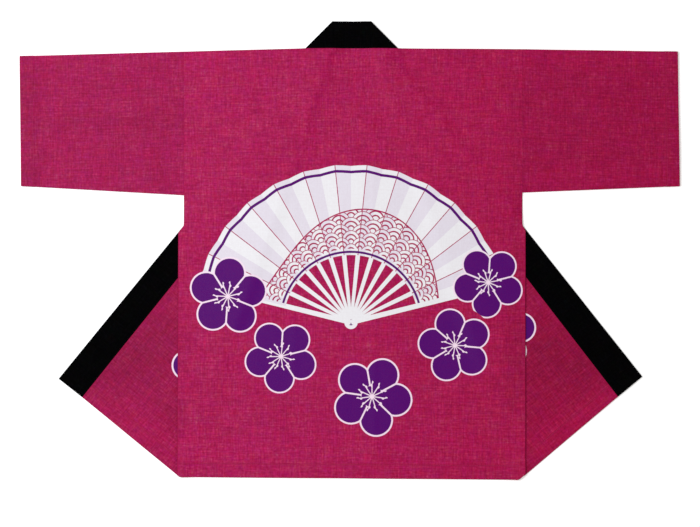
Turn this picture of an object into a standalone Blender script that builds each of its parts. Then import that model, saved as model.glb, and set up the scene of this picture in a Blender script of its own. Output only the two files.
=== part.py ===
"""A happi coat that lies on a flat surface with its back up and both fronts folded out to the sides.

Frame: metres, +Z up, +Y towards the neck, +X towards the wearer's right. The surface is the plane z = 0.

Each side of the coat is worked out in its own flat coordinates: "out" is the distance from the coat's centre
line and "up" is the height above the shoulder line at the neck, so a place on the body has a negative "up".
A front and its half of the collar are first cut flat, where they would lie straight under the back, and are
then laid: the part beyond a slanting fold line turns over and comes to lie on the surface, further out.
From the surface upwards the layers are the folded-out flap, the rest of the front, and the back.
"""

import math
from typing import NamedTuple

import bmesh
import bpy
import numpy as np

# Walls and the air between them.
CLOTH = 0.0010
HEM = 0.0016
BAND = 0.0022
LAYER_GAP = 0.0005
SEAM_GAP = 0.0003

# The coat's cut.
CENTRE_X = 0.0040
SHOULDER_Y = 0.3840
LENGTH = 0.8170
NECK_BAND = 0.0508
HEM_DEPTH = 0.0280
CUFF_DEPTH = 0.0250
HEM_STEP = 0.0020
NECK_CHAMFER = 0.0025

# How it lies.
FOLD_HALF = 0.0015
FOLD_CLEAR = 0.0025
WIDE_RAMP = 0.0220
EDGE_RAMP = 0.0140
BAND_RAMP = 0.0090
CURL_FADE = 0.0120
CUFF_LIFT = 0.0010
CUFF_LIFT_REACH = 0.1000

# Mesh steps.
CELL = 0.0450
SNAP = 0.0003
WELD = 0.000001
QUARTER_STEPS = 2
FOLD_STEPS = 6
BAND_COLUMNS = 4
NECK_STEP = 0.0090
SLEEVE_CELLS = 6

NECK_NORMAL = (math.sqrt(0.5), math.sqrt(0.5))

MAGENTA = (0.38, 0.016, 0.09, 1.0)
BLACK = (0.004, 0.004, 0.004, 1.0)


class Side(NamedTuple):
    """One side of the coat. Lengths ending in _out are from the centre line, and _down from the shoulder."""

    name: str
    sign: int
    neck_out: float
    armhole_out: float
    armhole_down: float
    underarm_down: float
    step_down: float
    step_end_down: float
    side_out: float
    hem_out: float
    hem_down: float
    corner_cut_out: float
    corner_cut_down: float
    cuff_out: float
    cuff_down: float
    cuff_low_out: float
    cuff_low_down: float
    fold_lean: float
    fold_rise: float
    flap_out: float
    flap_down: float
    flap_seam_out: float
    flap_seam_down: float
    flap_low_out: float
    flap_low_down: float

    @property
    def free_out(self):
        """The collar's free edge, where the front lies straight."""
        return self.neck_out - NECK_BAND

    @property
    def along_fold(self):
        """The fold line's direction, downwards and outwards."""
        lean = math.radians(self.fold_lean)
        return np.array([math.sin(lean), -math.cos(lean)])

    @property
    def across_fold(self):
        """The direction across the fold line, towards the part that turns over."""
        lean = math.radians(self.fold_lean)
        return np.array([-math.cos(lean), -math.sin(lean)])

    @property
    def apex(self):
        """Where the fold line leaves the collar's free edge."""
        return np.array([self.free_out, self.fold_rise])


SIDES = (
    Side(
        name="left", sign=-1, neck_out=0.0871,
        armhole_out=0.3189, armhole_down=0.0063, underarm_down=0.2793,
        step_down=0.3363, step_end_down=0.3496, side_out=0.3294,
        hem_out=0.3278, hem_down=0.8143, corner_cut_out=0.3278, corner_cut_down=0.8143,
        cuff_out=0.6305, cuff_down=0.0150, cuff_low_out=0.6279, cuff_low_down=0.2618,
        fold_lean=19.62, fold_rise=0.0097,
        flap_out=0.5558, flap_down=0.6286, flap_seam_out=0.5121, flap_seam_down=0.6628,
        flap_low_out=0.3278, flap_low_down=0.8137,
    ),
    Side(
        name="right", sign=1, neck_out=0.0867,
        armhole_out=0.3239, armhole_down=0.0017, underarm_down=0.2742,
        step_down=0.3363, step_end_down=0.3454, side_out=0.3297,
        hem_out=0.3299, hem_down=0.8197, corner_cut_out=0.3166, corner_cut_down=0.8085,
        cuff_out=0.6187, cuff_down=0.0063, cuff_low_out=0.6225, cuff_low_down=0.2620,
        fold_lean=19.18, fold_rise=0.0279,
        flap_out=0.5500, flap_down=0.6247, flap_seam_out=0.5055, flap_seam_down=0.6614,
        flap_low_out=0.3166, flap_low_down=0.8213,
    ),
)


# ---------------------------------------------------------------- flat geometry


def smooth(value):
    """0 below 0, 1 above 1, with no corner between."""
    value = np.clip(value, 0.0, 1.0)
    return value * value * (3.0 - 2.0 * value)


def plateau(inside, ramp):
    """1 where inside is positive, falling smoothly to 0 over the ramp's width outside."""
    return smooth(1.0 + inside / ramp)


def past_fold(side, out, up):
    """Distance past the fold line: positive on the part that turns over."""
    across = side.across_fold
    return (out - side.apex[0]) * across[0] + (up - side.apex[1]) * across[1]


def turned_over(side, out, up):
    """The mirror image in the fold line, which takes the cut to the flap and back again."""
    twice = 2.0 * past_fold(side, out, up)
    across = side.across_fold
    return out - twice * across[0], up - twice * across[1]


def shoulder_up(side, out):
    """The height of the shoulder line, level at the neck and falling towards the armhole."""
    slope = side.armhole_down / (side.armhole_out - side.neck_out)
    return -slope * np.maximum(out - side.neck_out, 0.0)


def side_out(side, up):
    """How far out the side edge lies: straight at the armhole, with a small step out below it."""
    armhole = side.armhole_out - SEAM_GAP / 2.0
    downs = [side.underarm_down, side.step_down, side.step_end_down, side.hem_down]
    return np.interp(-up, downs, [armhole, armhole, side.side_out, side.hem_out])


def back_hem_up(side, out):
    """The back's bottom edge, which runs a little askew."""
    return np.interp(out, [0.0, side.hem_out], [-LENGTH, -side.hem_down])


def flap_hem_ends(side):
    """The bottom edge of the front as cut: where it meets the fold line, the band's seam and its free edge."""
    laid_seam = np.array([side.flap_seam_out, -side.flap_seam_down])
    low = np.array([side.flap_low_out, -side.flap_low_down])
    at_seam, at_low = past_fold(side, *laid_seam), past_fold(side, *low)
    fold = laid_seam + (low - laid_seam) * at_seam / (at_seam - at_low)
    free = turned_over(side, side.flap_out, -side.flap_down)
    return fold, np.array(turned_over(side, *laid_seam)), np.array(free)


def front_hem_up(side, out):
    """The bottom edge of the front as cut. Beyond the fold line it meets the corner that is turned in."""
    fold, seam, free = flap_hem_ends(side)
    outs = [free[0], seam[0], fold[0], max(side.hem_out, fold[0] + SNAP)]
    return np.interp(out, outs, [free[1], seam[1], fold[1], -side.corner_cut_down])


def fold_crossing(side, out, past=0.0):
    """How high the line at a distance past the fold crosses a place so far out."""
    across = side.across_fold
    return side.apex[1] + (past - (out - side.apex[0]) * across[0]) / across[1]


def seam_out(side, up):
    """The seam between front and collar as cut: straight down, with the band widening to the hem."""
    fold, seam, free = flap_hem_ends(side)
    crossing = fold_crossing(side, side.neck_out)
    return np.interp(up, [seam[1], crossing], [seam[0], side.neck_out])


# ---------------------------------------------------------------- how high each layer lies


def hem_band(above):
    """1 within the turned hem and 0 above it."""
    return np.clip((HEM_DEPTH + HEM_STEP - above) / HEM_STEP, 0.0, 1.0)


def front_wall(side, out, up):
    """The front's thickness at a place in its cut."""
    return CLOTH + (HEM - CLOTH) * hem_band(up - front_hem_up(side, out))


def back_wall(side, out, up):
    """The back's thickness."""
    return CLOTH + (HEM - CLOTH) * hem_band(up - back_hem_up(side, out))


def seam_rise(side, out, up):
    """How much the front's cloth rises towards the collar's seam, where its middle meets the band's."""
    return (BAND - CLOTH) / 2.0 * plateau(seam_out(side, up) - out, BAND_RAMP)


def under_front(side, out, up):
    """The height on which the straight part of a front lies: the surface, or the flap and its collar."""
    cut_out, cut_up = turned_over(side, out, up)
    on_fold = FOLD_CLEAR - past_fold(side, out, up)
    from_free = cut_out - side.free_out
    from_seam = seam_out(side, cut_up) - cut_out
    flap = np.minimum(on_fold, from_free)
    band = np.minimum(flap, from_seam)
    wall = front_wall(side, cut_out, cut_up)
    return (wall + LAYER_GAP) * plateau(flap, EDGE_RAMP) + (BAND - CLOTH) * plateau(band, BAND_RAMP)


def under_back(side, out, up):
    """The height on which the back and the neck's band lie: the surface, or all that is under them."""
    front = np.minimum(FOLD_CLEAR - past_fold(side, out, up), out - side.free_out + FOLD_CLEAR)
    band = np.minimum(front, side.neck_out - out)
    wall = front_wall(side, out, up)
    layer = (wall + LAYER_GAP) * plateau(front, WIDE_RAMP) + (BAND - CLOTH) * plateau(band, BAND_RAMP)
    return under_front(side, out, up) + layer


def curl_at_side(side, up):
    """How far the side edges curl to meet each other: fully, but for the armhole and the hem's corner."""
    below_arm = (-up - side.underarm_down) / CURL_FADE
    above_hem = (up + side.hem_down) / CURL_FADE - 1.0
    return smooth(np.minimum(below_arm, above_hem))


def curl_at_shoulder(side, out):
    """How far the shoulder edges curl to meet each other: not at all along the neck."""
    return smooth((out - side.neck_out) / CURL_FADE)


# ---------------------------------------------------------------- laying the pieces


def curled(edge, wall, offset, low, high, upper, amount):
    """Turns a panel's edge through a quarter circle, so that two panels meet halfway between them.

    edge is the distance from the edge, offset the place in the wall (up is positive), low and high the middles
    of the two panels' walls. It gives the new distance from the edge and the new height.
    """
    radius, middle = (high - low) / 2.0, (high + low) / 2.0
    reach = radius + wall / 2.0
    turn = np.clip(1.0 - edge / reach, 0.0, 1.0) * math.pi / 2.0
    way = 1.0 if upper else -1.0
    arm = radius + way * offset
    end_gap = way * SEAM_GAP / 2.0 * turn / (math.pi / 2.0)
    edge_curled = np.where(edge < reach, reach - arm * np.sin(turn), edge)
    height_curled = middle + way * arm * np.cos(turn) + end_gap
    height_flat = (high if upper else low) + offset
    return edge + amount * (edge_curled - edge), height_flat + amount * (height_curled - height_flat)


def with_curled_edges(side, out, up, wall, offset, upper):
    """The place of a point of the back (upper) or of a front's straight part, edges curled."""
    low = under_front(side, out, up) + front_wall(side, out, up) / 2.0 + seam_rise(side, out, up)
    high = under_back(side, out, up) + back_wall(side, out, up) / 2.0
    limit, top = side_out(side, up), shoulder_up(side, out)
    from_side, z_side = curled(limit - out, wall, offset, low, high, upper, curl_at_side(side, up))
    from_top, z_top = curled(top - up, wall, offset, low, high, upper, curl_at_shoulder(side, out))
    z_flat = (high if upper else low) + offset
    return np.stack([limit - from_side, top - from_top, z_side + z_top - z_flat], axis=-1)


def over_fold(side, out, up, offset, low, high, point, normal):
    """The place of a point on a half-round fold, whose line goes through point and whose normal is given.

    The fold is a half circle from the upper layer's middle to the lower one's.
    """
    past = (out - point[0]) * normal[0] + (up - point[1]) * normal[1]
    turn = np.clip(past / FOLD_HALF, -1.0, 1.0) * math.pi / 2.0
    radius, middle = (high - low) / 2.0, (high + low) / 2.0
    reach = (radius + offset) * np.cos(turn) - FOLD_HALF
    foot_out, foot_up = out - past * normal[0], up - past * normal[1]
    return np.stack(
        [foot_out + reach * normal[0], foot_up + reach * normal[1], middle - (radius + offset) * np.sin(turn)],
        axis=-1,
    )


def lay_front(side, out, up, offset):
    """The place of a point of a front, given where it is in the cut and in the wall."""
    wall = front_wall(side, out, up)
    past = past_fold(side, out, up)
    across = side.across_fold
    foot = (out - past * across[0], up - past * across[1])
    straight = with_curled_edges(side, out, up, wall, offset, upper=False)
    flap_out, flap_up = turned_over(side, out, up)
    low = wall / 2.0 + seam_rise(side, out, up)
    flap = np.stack([flap_out, flap_up, low - offset], axis=-1)
    fold = over_fold(side, out, up, offset, low, under_front(side, *foot) + low, side.apex, across)
    return choose(past, straight, fold, flap)


def choose(past, before, fold, after):
    """The place before a fold, on it or after it, by how far past its line a point is."""
    past = past[..., None]
    return np.where(past <= -FOLD_HALF, before, np.where(past >= FOLD_HALF, after, fold))


def lay_collar(side, out, up, offset):
    """The place of a point of one half of the collar, which turns over at the fold line and at the neck.

    As cut, the half is one straight strip. At the neck it turns over along a slant of 45 degrees, rises onto its
    own lower stretch, and runs level behind the neck.
    """
    past = past_fold(side, out, up)
    straight = np.stack([out, up, under_front(side, out, up) + BAND / 2.0 + offset], axis=-1)

    across = side.across_fold
    foot = (out - past * across[0], up - past * across[1])
    high = under_front(side, *foot) + BAND / 2.0
    fold = over_fold(side, out, up, offset, BAND / 2.0, high, side.apex, across)
    flap_out, flap_up = turned_over(side, out, up)
    flap = np.stack([flap_out, flap_up, BAND / 2.0 - offset], axis=-1)

    corner = np.array([side.neck_out, 0.0])
    past_neck = (out - corner[0]) * NECK_NORMAL[0] + (up - corner[1]) * NECK_NORMAL[1]
    foot = (out - past_neck * NECK_NORMAL[0], up - past_neck * NECK_NORMAL[1])
    low, high = under_front(side, *foot) + BAND / 2.0, under_back(side, *foot) + BAND / 2.0
    turn = over_fold(side, out, up, -offset, low, high, corner, NECK_NORMAL)
    turn[..., 2] = low + high - turn[..., 2]
    neck_out = out - 2.0 * past_neck * NECK_NORMAL[0]
    neck_up = up - 2.0 * past_neck * NECK_NORMAL[1]
    neck = np.stack([neck_out, neck_up, under_back(side, neck_out, neck_up) + BAND / 2.0 - offset], axis=-1)

    return choose(past, choose(past_neck, straight, turn, neck), fold, flap)


# ---------------------------------------------------------------- meshes


def to_world(side, places):
    """Places given as out, up and height, in the coat's frame."""
    places = np.asarray(places, dtype=float)
    return np.stack(
        [CENTRE_X + side.sign * places[..., 0], SHOULDER_Y + places[..., 1], places[..., 2]], axis=-1
    )


def material(name, colour, roughness):
    """A plain Principled material."""
    made = bpy.data.materials.new(name)
    made.use_nodes = True
    shader = made.node_tree.nodes["Principled BSDF"]
    shader.inputs["Base Color"].default_value = colour
    shader.inputs["Roughness"].default_value = roughness
    shader.inputs["Metallic"].default_value = 0.0
    return made


def add_object(name, vertices, faces, colour, roughness=0.85):
    """A closed solid as an object of its own, with its faces turned out and its folds kept round."""
    mesh = bpy.data.meshes.new(name)
    mesh.from_pydata([tuple(v) for v in vertices], [], faces)
    bm = bmesh.new()
    bm.from_mesh(mesh)
    bmesh.ops.remove_doubles(bm, verts=bm.verts, dist=WELD)
    bmesh.ops.recalc_face_normals(bm, faces=bm.faces)
    bm.to_mesh(mesh)
    bm.free()
    mesh.shade_smooth()
    mesh.set_sharp_from_angle(angle=math.radians(40.0))
    mesh.materials.append(material(name, colour, roughness))
    made = bpy.data.objects.new(name, mesh)
    bpy.context.scene.collection.objects.link(made)
    return made


def shell_of_grid(one, other):
    """Vertices and faces of the solid between two grids of points that match row by row."""
    rows, columns = one.shape[:2]
    count = rows * columns
    index = np.arange(count).reshape(rows, columns)
    quads = np.stack([index[:-1, :-1], index[1:, :-1], index[1:, 1:], index[:-1, 1:]], axis=-1).reshape(-1, 4)
    rim = np.concatenate([index[0, :], index[1:, -1], index[-1, -2::-1], index[-2:0:-1, 0]])
    after = np.roll(rim, -1)
    walls = np.stack([rim, after, after + count, rim + count], axis=-1)
    faces = np.concatenate([quads, quads[:, ::-1] + count, walls])
    return np.concatenate([one.reshape(-1, 3), other.reshape(-1, 3)]), faces.tolist()


def cloth_grid(outs, ups):
    """A flat bmesh of quads, from arrays of out and up with a row for each line across the cloth."""
    bm = bmesh.new()
    made = [[bm.verts.new((x, y, 0.0)) for x, y in zip(xs, ys)] for xs, ys in zip(outs, ups)]
    for first, second in zip(made, made[1:]):
        for i in range(len(first) - 1):
            bm.faces.new((first[i], first[i + 1], second[i + 1], second[i]))
    return bm


def scribe(bm, point, along, offsets=(0.0,), where=None, cut_off=False):
    """Cuts edges into the flat cloth along a line and its parallels, or cuts off what lies to the line's right.

    offsets are the parallels' distances to the right, and where says which faces the cut may reach.
    """
    length = math.hypot(*along)
    right = np.array([along[1], -along[0]]) / length
    for offset in offsets:
        faces = [f for f in bm.faces if where is None or where(*f.calc_center_median().xy)]
        edges = {e for f in faces for e in f.edges}
        verts = {v for f in faces for v in f.verts}
        place = np.asarray(point) + offset * right
        bmesh.ops.bisect_plane(
            bm, geom=faces + list(edges) + list(verts), dist=SNAP,
            plane_co=(place[0], place[1], 0.0), plane_no=(right[0], right[1], 0.0), clear_outer=cut_off,
        )


def solid_of_cloth(bm, lay, open_at=None):
    """Vertices and faces of the solid that the laid cloth fills.

    lay gives the places of arrays of points for the upper (1) or the lower (-1) face of the flat cloth, and
    open_at says which of the flat cloth's edges stay open, to be joined to another piece of the same node.
    """
    bm.verts.index_update()
    flat = np.array([v.co[:2] for v in bm.verts])
    count = len(flat)
    faces = [[v.index for v in f.verts] for f in bm.faces]
    under = [[i + count for i in reversed(face)] for face in faces]
    walls = []
    for edge in bm.edges:
        if len(edge.link_faces) == 1 and not (open_at and all(open_at(v.co.y) for v in edge.verts)):
            loop = edge.link_loops[0]
            start, end = loop.vert.index, loop.link_loop_next.vert.index
            walls.append([end, start, start + count, end + count])
    bm.free()
    return np.concatenate([lay(flat[:, 0], flat[:, 1], 1), lay(flat[:, 0], flat[:, 1], -1)]), faces + under + walls


def stations(start, end, step):
    """Evenly spaced values from start to end, about a step apart."""
    return np.linspace(start, end, max(2, int(round(abs(end - start) / step)) + 1))


def near_edge():
    """Distances from a curled edge at which the cloth needs a line."""
    reach = (CLOTH + LAYER_GAP) / 2.0 + CLOTH / 2.0
    return np.linspace(0.0, reach, QUARTER_STEPS + 1)


def side_rows(side):
    """How far down a body panel's rows meet its side edge, close together where the edge turns."""
    near, arm = near_edge(), side.underarm_down
    return np.concatenate([
        side.armhole_down + near,
        stations(side.armhole_down + near[-1], arm, CELL)[1:],
        [arm + CURL_FADE / 2.0, arm + CURL_FADE, side.step_down, side.step_end_down],
        stations(side.step_end_down, side.hem_down - 2.0 * CURL_FADE, CELL)[1:],
        [side.hem_down - CURL_FADE, side.hem_down],
    ])


def row_shares(downs, top_down):
    """The share of the way to the hem of each row below the top edge's curl."""
    near = near_edge()
    return (downs[len(near):] - top_down - near[-1]) / (downs[-1] - top_down - near[-1])


def rows_between(top, bottom, shares):
    """The rows' heights from arrays of the top and bottom edges and of each row's share, a row per share."""
    near = near_edge()
    start = top - near[-1]
    return np.concatenate([top - near[:, None], start + shares * (bottom - start)])


# ---------------------------------------------------------------- the pieces


def scribe_over_flap(bm, side, sign, where):
    """Cuts lines where cloth steps up onto the flap's free edge, and down again past its collar seam.

    sign is -1 where the flat cloth's first coordinate runs against the side's out.
    """
    corner = np.array([sign * side.flap_out, -side.flap_down])
    apex = np.array([sign * side.apex[0], side.apex[1]])
    seam_corner = np.array([sign * side.flap_seam_out, -side.flap_seam_down])
    crossing = np.array([sign * side.neck_out, fold_crossing(side, side.neck_out)])
    scribe(bm, corner, apex - corner, sign * np.linspace(0.0, EDGE_RAMP, 4), where)
    scribe(bm, seam_corner, crossing - seam_corner, -sign * np.linspace(0.0, BAND_RAMP, 3), where)


def scribe_hem(bm, side, sign, where=None):
    """Cuts the lines between which a front's turned hem steps down to the single cloth."""
    fold_end, seam_end, _ = [np.array([sign * place[0], place[1]]) for place in flap_hem_ends(side)]
    scribe(bm, fold_end, seam_end - fold_end, (sign * HEM_DEPTH, sign * (HEM_DEPTH + HEM_STEP)), where)


def back_cut():
    """The back's flat cloth as a grid, with a left (negative) and a right half."""
    left, right = SIDES
    near = near_edge()
    share = stations(0.0, 1.0, CELL / (2.0 * right.side_out))[1:-1]
    downs = side_rows(left), side_rows(right)
    starts, ends = -side_out(left, -downs[0])[:, None], side_out(right, -downs[1])[:, None]
    inner = starts + near[-1] + share * (ends - starts - 2.0 * near[-1])
    outs = np.concatenate([starts + near, inner, ends - near[::-1]], axis=1)
    middle = outs[0]
    top = np.where(middle < 0.0, shoulder_up(left, -middle), shoulder_up(right, middle)) - SEAM_GAP / 2.0
    bottom = np.where(middle < 0.0, back_hem_up(left, -middle), back_hem_up(right, middle))
    across = (middle - middle[0]) / (middle[-1] - middle[0])
    shares = [row_shares(down, side.armhole_down)[:, None] for down, side in zip(downs, SIDES)]
    return cloth_grid(outs, rows_between(top, bottom, shares[0] + across * (shares[1] - shares[0])))


def build_back():
    """The back panel: one piece from side to side, over the fronts and down to the surface between them."""
    bm = back_cut()
    for side in SIDES:
        def own_half(x, y, side=side):
            return side.sign * x > 0.0

        def over_front(x, y, side=side):
            return side.sign * x > 0.0 and past_fold(side, abs(x), y) < FOLD_CLEAR

        def near_neck(x, y, side=side):
            return over_front(x, y) and y > fold_crossing(side, side.neck_out) - BAND_RAMP

        sign = side.sign
        scribe_over_flap(bm, side, sign, over_front)
        apex = np.array([sign * side.apex[0], side.apex[1]])
        along = np.array([sign * side.along_fold[0], side.along_fold[1]])
        scribe(bm, apex, along, sign * (FOLD_CLEAR + np.linspace(0.0, WIDE_RAMP, 4)), own_half)
        scribe(bm, (sign * side.neck_out, 0.0), (0.0, 1.0), sign * np.linspace(0.0, BAND_RAMP, 3), near_neck)
        scribe_hem(bm, side, sign, over_front)
        hem_middle, hem_end = np.array([0.0, -LENGTH]), np.array([sign * side.hem_out, -side.hem_down])
        along_hem = sign * (hem_end - hem_middle)
        scribe(bm, hem_middle, along_hem, (-HEM_DEPTH, -HEM_DEPTH - HEM_STEP), own_half)
        corner = np.array([sign * side.corner_cut_out, back_hem_up(side, side.corner_cut_out)])
        cut_end = np.array([sign * side.hem_out, -side.corner_cut_down])
        if np.hypot(*(cut_end - corner)) > SNAP:
            scribe(bm, corner, sign * (cut_end - corner), where=own_half, cut_off=True)

    def lay(x, y, face):
        halves = []
        for side in SIDES:
            out = side.sign * x
            wall = back_wall(side, np.maximum(out, 0.0), y)
            place = with_curled_edges(side, out, y, wall, face * wall / 2.0, upper=True)
            halves.append(to_world(side, place))
        return np.where(x[:, None] < 0.0, halves[0], halves[1])

    add_object("back", *solid_of_cloth(bm, lay), MAGENTA)


def build_front(side):
    """A front panel, cut as one piece and folded out along a slanting line from its lower corner to the neck."""
    near = near_edge()
    downs = side_rows(side)
    downs[-1] = -front_hem_up(side, side.hem_out)
    starts, ends = side_out(side, -downs)[:, None], seam_out(side, -downs)[:, None] + SEAM_GAP / 2.0
    share = stations(0.0, 1.0, CELL / (side.side_out - side.neck_out))[1:]
    outs = np.concatenate([starts - near, starts - near[-1] + share * (ends - starts + near[-1])], axis=1)
    top, bottom = shoulder_up(side, outs[0]) - SEAM_GAP / 2.0, front_hem_up(side, outs[-1])
    bm = cloth_grid(outs, rows_between(top, bottom, row_shares(downs, side.armhole_down)[:, None]))
    bmesh.ops.reverse_faces(bm, faces=bm.faces)

    def straight(x, y):
        return past_fold(side, x, y) < -FOLD_HALF

    def near_neck(x, y):
        return straight(x, y) and y > fold_crossing(side, side.neck_out) - BAND_RAMP

    scribe_over_flap(bm, side, 1, straight)
    scribe(bm, (side.neck_out, 0.0), (0.0, 1.0), np.linspace(0.0, BAND_RAMP, 3)[1:], near_neck)
    scribe(bm, side.apex, side.along_fold, np.linspace(-FOLD_HALF, FOLD_HALF, FOLD_STEPS + 1))
    scribe_hem(bm, side, 1)
    scribe(bm, (side.neck_out + NECK_CHAMFER, 0.0), (-1.0, -1.0), cut_off=True)

    def lay(out, up, face):
        offset = face * front_wall(side, out, up) / 2.0
        return to_world(side, lay_front(side, out, up, offset))

    add_object(f"front_{side.name}", *solid_of_cloth(bm, lay), MAGENTA)


def collar_half(side):
    """Vertices and faces of one half of the collar, from its hem to the middle of the neck, where it is open."""
    middle = side.neck_out
    downs = np.concatenate([
        stations(-middle, 0.0, NECK_STEP),
        stations(0.0, -fold_crossing(side, side.neck_out), 2.0 * NECK_STEP)[1:],
        stations(-fold_crossing(side, side.neck_out), side.hem_down, 2.0 * CELL)[1:],
    ])
    ends = seam_out(side, -downs)[:, None] - SEAM_GAP / 2.0
    outs = side.free_out + np.linspace(0.0, 1.0, BAND_COLUMNS + 1) * (ends - side.free_out)
    bottom = front_hem_up(side, outs[-1])
    ups = middle + (downs + middle)[:, None] / (side.hem_down + middle) * (bottom - middle)
    bm = cloth_grid(outs, ups)
    bmesh.ops.reverse_faces(bm, faces=bm.faces)

    def straight(x, y):
        below_neck = (x - side.neck_out) * NECK_NORMAL[0] + y * NECK_NORMAL[1] < -FOLD_HALF
        return below_neck and past_fold(side, x, y) < -FOLD_HALF

    steps = np.linspace(-FOLD_HALF, FOLD_HALF, FOLD_STEPS + 1)
    scribe_over_flap(bm, side, 1, straight)
    scribe(bm, side.apex, side.along_fold, steps)
    scribe(bm, (side.neck_out, 0.0), (-NECK_NORMAL[1], NECK_NORMAL[0]), steps)

    def lay(out, up, face):
        return to_world(side, lay_collar(side, out, up, np.full(out.shape, face * BAND / 2.0)))

    return solid_of_cloth(bm, lay, open_at=lambda up: abs(up - middle) < SNAP)


def build_collar():
    """The collar band: two mirrored halves that are one piece behind the neck."""
    (left, left_faces), (right, right_faces) = [collar_half(side) for side in SIDES]
    faces = left_faces + [[i + len(left) for i in face] for face in right_faces]
    add_object("collar", np.concatenate([left, right]), faces, BLACK, roughness=0.95)


def sleeve_section(depth, low, high, wall, offset):
    """The section of a flattened tube, from its upper seam edge over the shoulder fold to its lower one.

    It gives, for each station of the section, how far below the fold it lies and how high.
    """
    radius, middle = (high - low) / 2.0, (high + low) / 2.0
    reach, arm = radius + wall / 2.0, radius + offset
    quarter = np.linspace(90.0, 0.0, QUARTER_STEPS + 1)
    half = np.linspace(0.0, 180.0, 2 * QUARTER_STEPS + 1)
    flat = np.linspace(1.0, 0.0, SLEEVE_CELLS + 1)[1:-1]
    downs, heights = [], []
    for degrees in quarter:
        turn = math.radians(degrees)
        downs.append(depth - reach + arm * math.sin(turn))
        heights.append(middle + arm * math.cos(turn) + SEAM_GAP / 2.0 * degrees / 90.0)
    for share in flat:
        downs.append(reach + share * (depth - 2.0 * reach))
        heights.append(middle + arm)
    for degrees in half:
        turn = math.radians(degrees)
        downs.append(reach - arm * math.sin(turn))
        heights.append(middle + arm * math.cos(turn))
    for share in flat[::-1]:
        downs.append(reach + share * (depth - 2.0 * reach))
        heights.append(middle - arm)
    for degrees in quarter[::-1]:
        turn = math.radians(degrees)
        downs.append(depth - reach + arm * math.sin(turn))
        heights.append(middle - arm * math.cos(turn) - SEAM_GAP / 2.0 * degrees / 90.0)
    return np.stack(downs, axis=1), np.stack(heights, axis=1)


def build_sleeve(side):
    """A sleeve: one piece folded at the shoulder and seamed under the arm, flattened, with a turned cuff."""
    top = np.array([[side.armhole_out + SEAM_GAP / 2.0, -side.armhole_down], [side.cuff_out, -side.cuff_down]])
    low = np.array([
        [side.armhole_out + SEAM_GAP / 2.0, -side.underarm_down], [side.cuff_low_out, -side.cuff_low_down]
    ])
    length = np.hypot(*(top[1] - top[0]))
    hem = 1.0 - np.array([CUFF_DEPTH + HEM_STEP, CUFF_DEPTH]) / length
    along = np.concatenate([stations(0.0, hem[0], CELL / length), hem[1:], [1.0]])
    from_cuff = (1.0 - along) * length
    wall = CLOTH + (HEM - CLOTH) * (from_cuff < CUFF_DEPTH + HEM_STEP / 2.0)
    lift = CUFF_LIFT * smooth(1.0 - from_cuff / CUFF_LIFT_REACH)
    fold, seam = top[0] + along[:, None] * (top[1] - top[0]), low[0] + along[:, None] * (low[1] - low[0])
    depth = np.hypot(*(seam - fold).T)
    faces = []
    for offset in (wall / 2.0, -wall / 2.0):
        downs, heights = sleeve_section(depth, wall / 2.0, 1.5 * wall + LAYER_GAP + lift, wall, offset)
        share = (downs / depth[:, None])[..., None]
        flat = fold[:, None] + share * (seam - fold)[:, None]
        faces.append(to_world(side, np.concatenate([flat, heights[..., None]], axis=-1)))
    add_object(f"sleeve_{side.name}", *shell_of_grid(*faces), MAGENTA)


def main():
    """Clears the scene and builds the six pieces."""
    for old in list(bpy.data.objects):
        bpy.data.objects.remove(old, do_unlink=True)
    build_back()
    for side in SIDES:
        build_front(side)
        build_sleeve(side)
    build_collar()


main()
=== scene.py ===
"""A happi coat that lies on a pale floor with its back up and both fronts folded out to the sides.

Each side of the coat is worked out in its own flat coordinates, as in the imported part: "out" is the distance
from the coat's centre line and "up" is the height above the shoulder line at the neck. A cloth is a grid over
its flat cut, which is laid in layers: the folded-out flap, the rest of the front, and the back on top.
"""

import logging
import math
from dataclasses import dataclass, field
from enum import Enum
from typing import Callable, Sequence

import bmesh
import bpy
import numpy as np
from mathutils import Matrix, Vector


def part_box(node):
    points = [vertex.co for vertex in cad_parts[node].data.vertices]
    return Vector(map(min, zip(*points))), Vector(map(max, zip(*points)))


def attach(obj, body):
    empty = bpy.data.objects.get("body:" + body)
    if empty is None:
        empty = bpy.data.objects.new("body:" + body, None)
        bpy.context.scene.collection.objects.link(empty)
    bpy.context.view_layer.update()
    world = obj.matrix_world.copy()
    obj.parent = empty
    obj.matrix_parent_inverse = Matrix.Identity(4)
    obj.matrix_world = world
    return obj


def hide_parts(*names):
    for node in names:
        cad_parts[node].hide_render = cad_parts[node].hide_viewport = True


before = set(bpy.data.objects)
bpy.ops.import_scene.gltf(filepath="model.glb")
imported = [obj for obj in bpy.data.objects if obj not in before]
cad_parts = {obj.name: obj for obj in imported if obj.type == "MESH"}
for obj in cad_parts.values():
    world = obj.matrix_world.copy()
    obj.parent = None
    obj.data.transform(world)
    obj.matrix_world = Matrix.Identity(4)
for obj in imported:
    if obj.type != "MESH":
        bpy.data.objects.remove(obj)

Array = np.ndarray
Material = bpy.types.Material
Node = bpy.types.Node
Outputs = bpy.types.NodeOutputs
Piece = bpy.types.Object
Socket = bpy.types.NodeSocket
Tree = bpy.types.NodeTree
Colour = tuple[float, float, float, float]
Vector3 = tuple[float, float, float]
Share = Vector3

log = logging.getLogger("happi_coat")
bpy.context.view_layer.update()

MM = 0.001
WELD = 0.000001
ROOT = "root"


# ---- sizes


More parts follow.
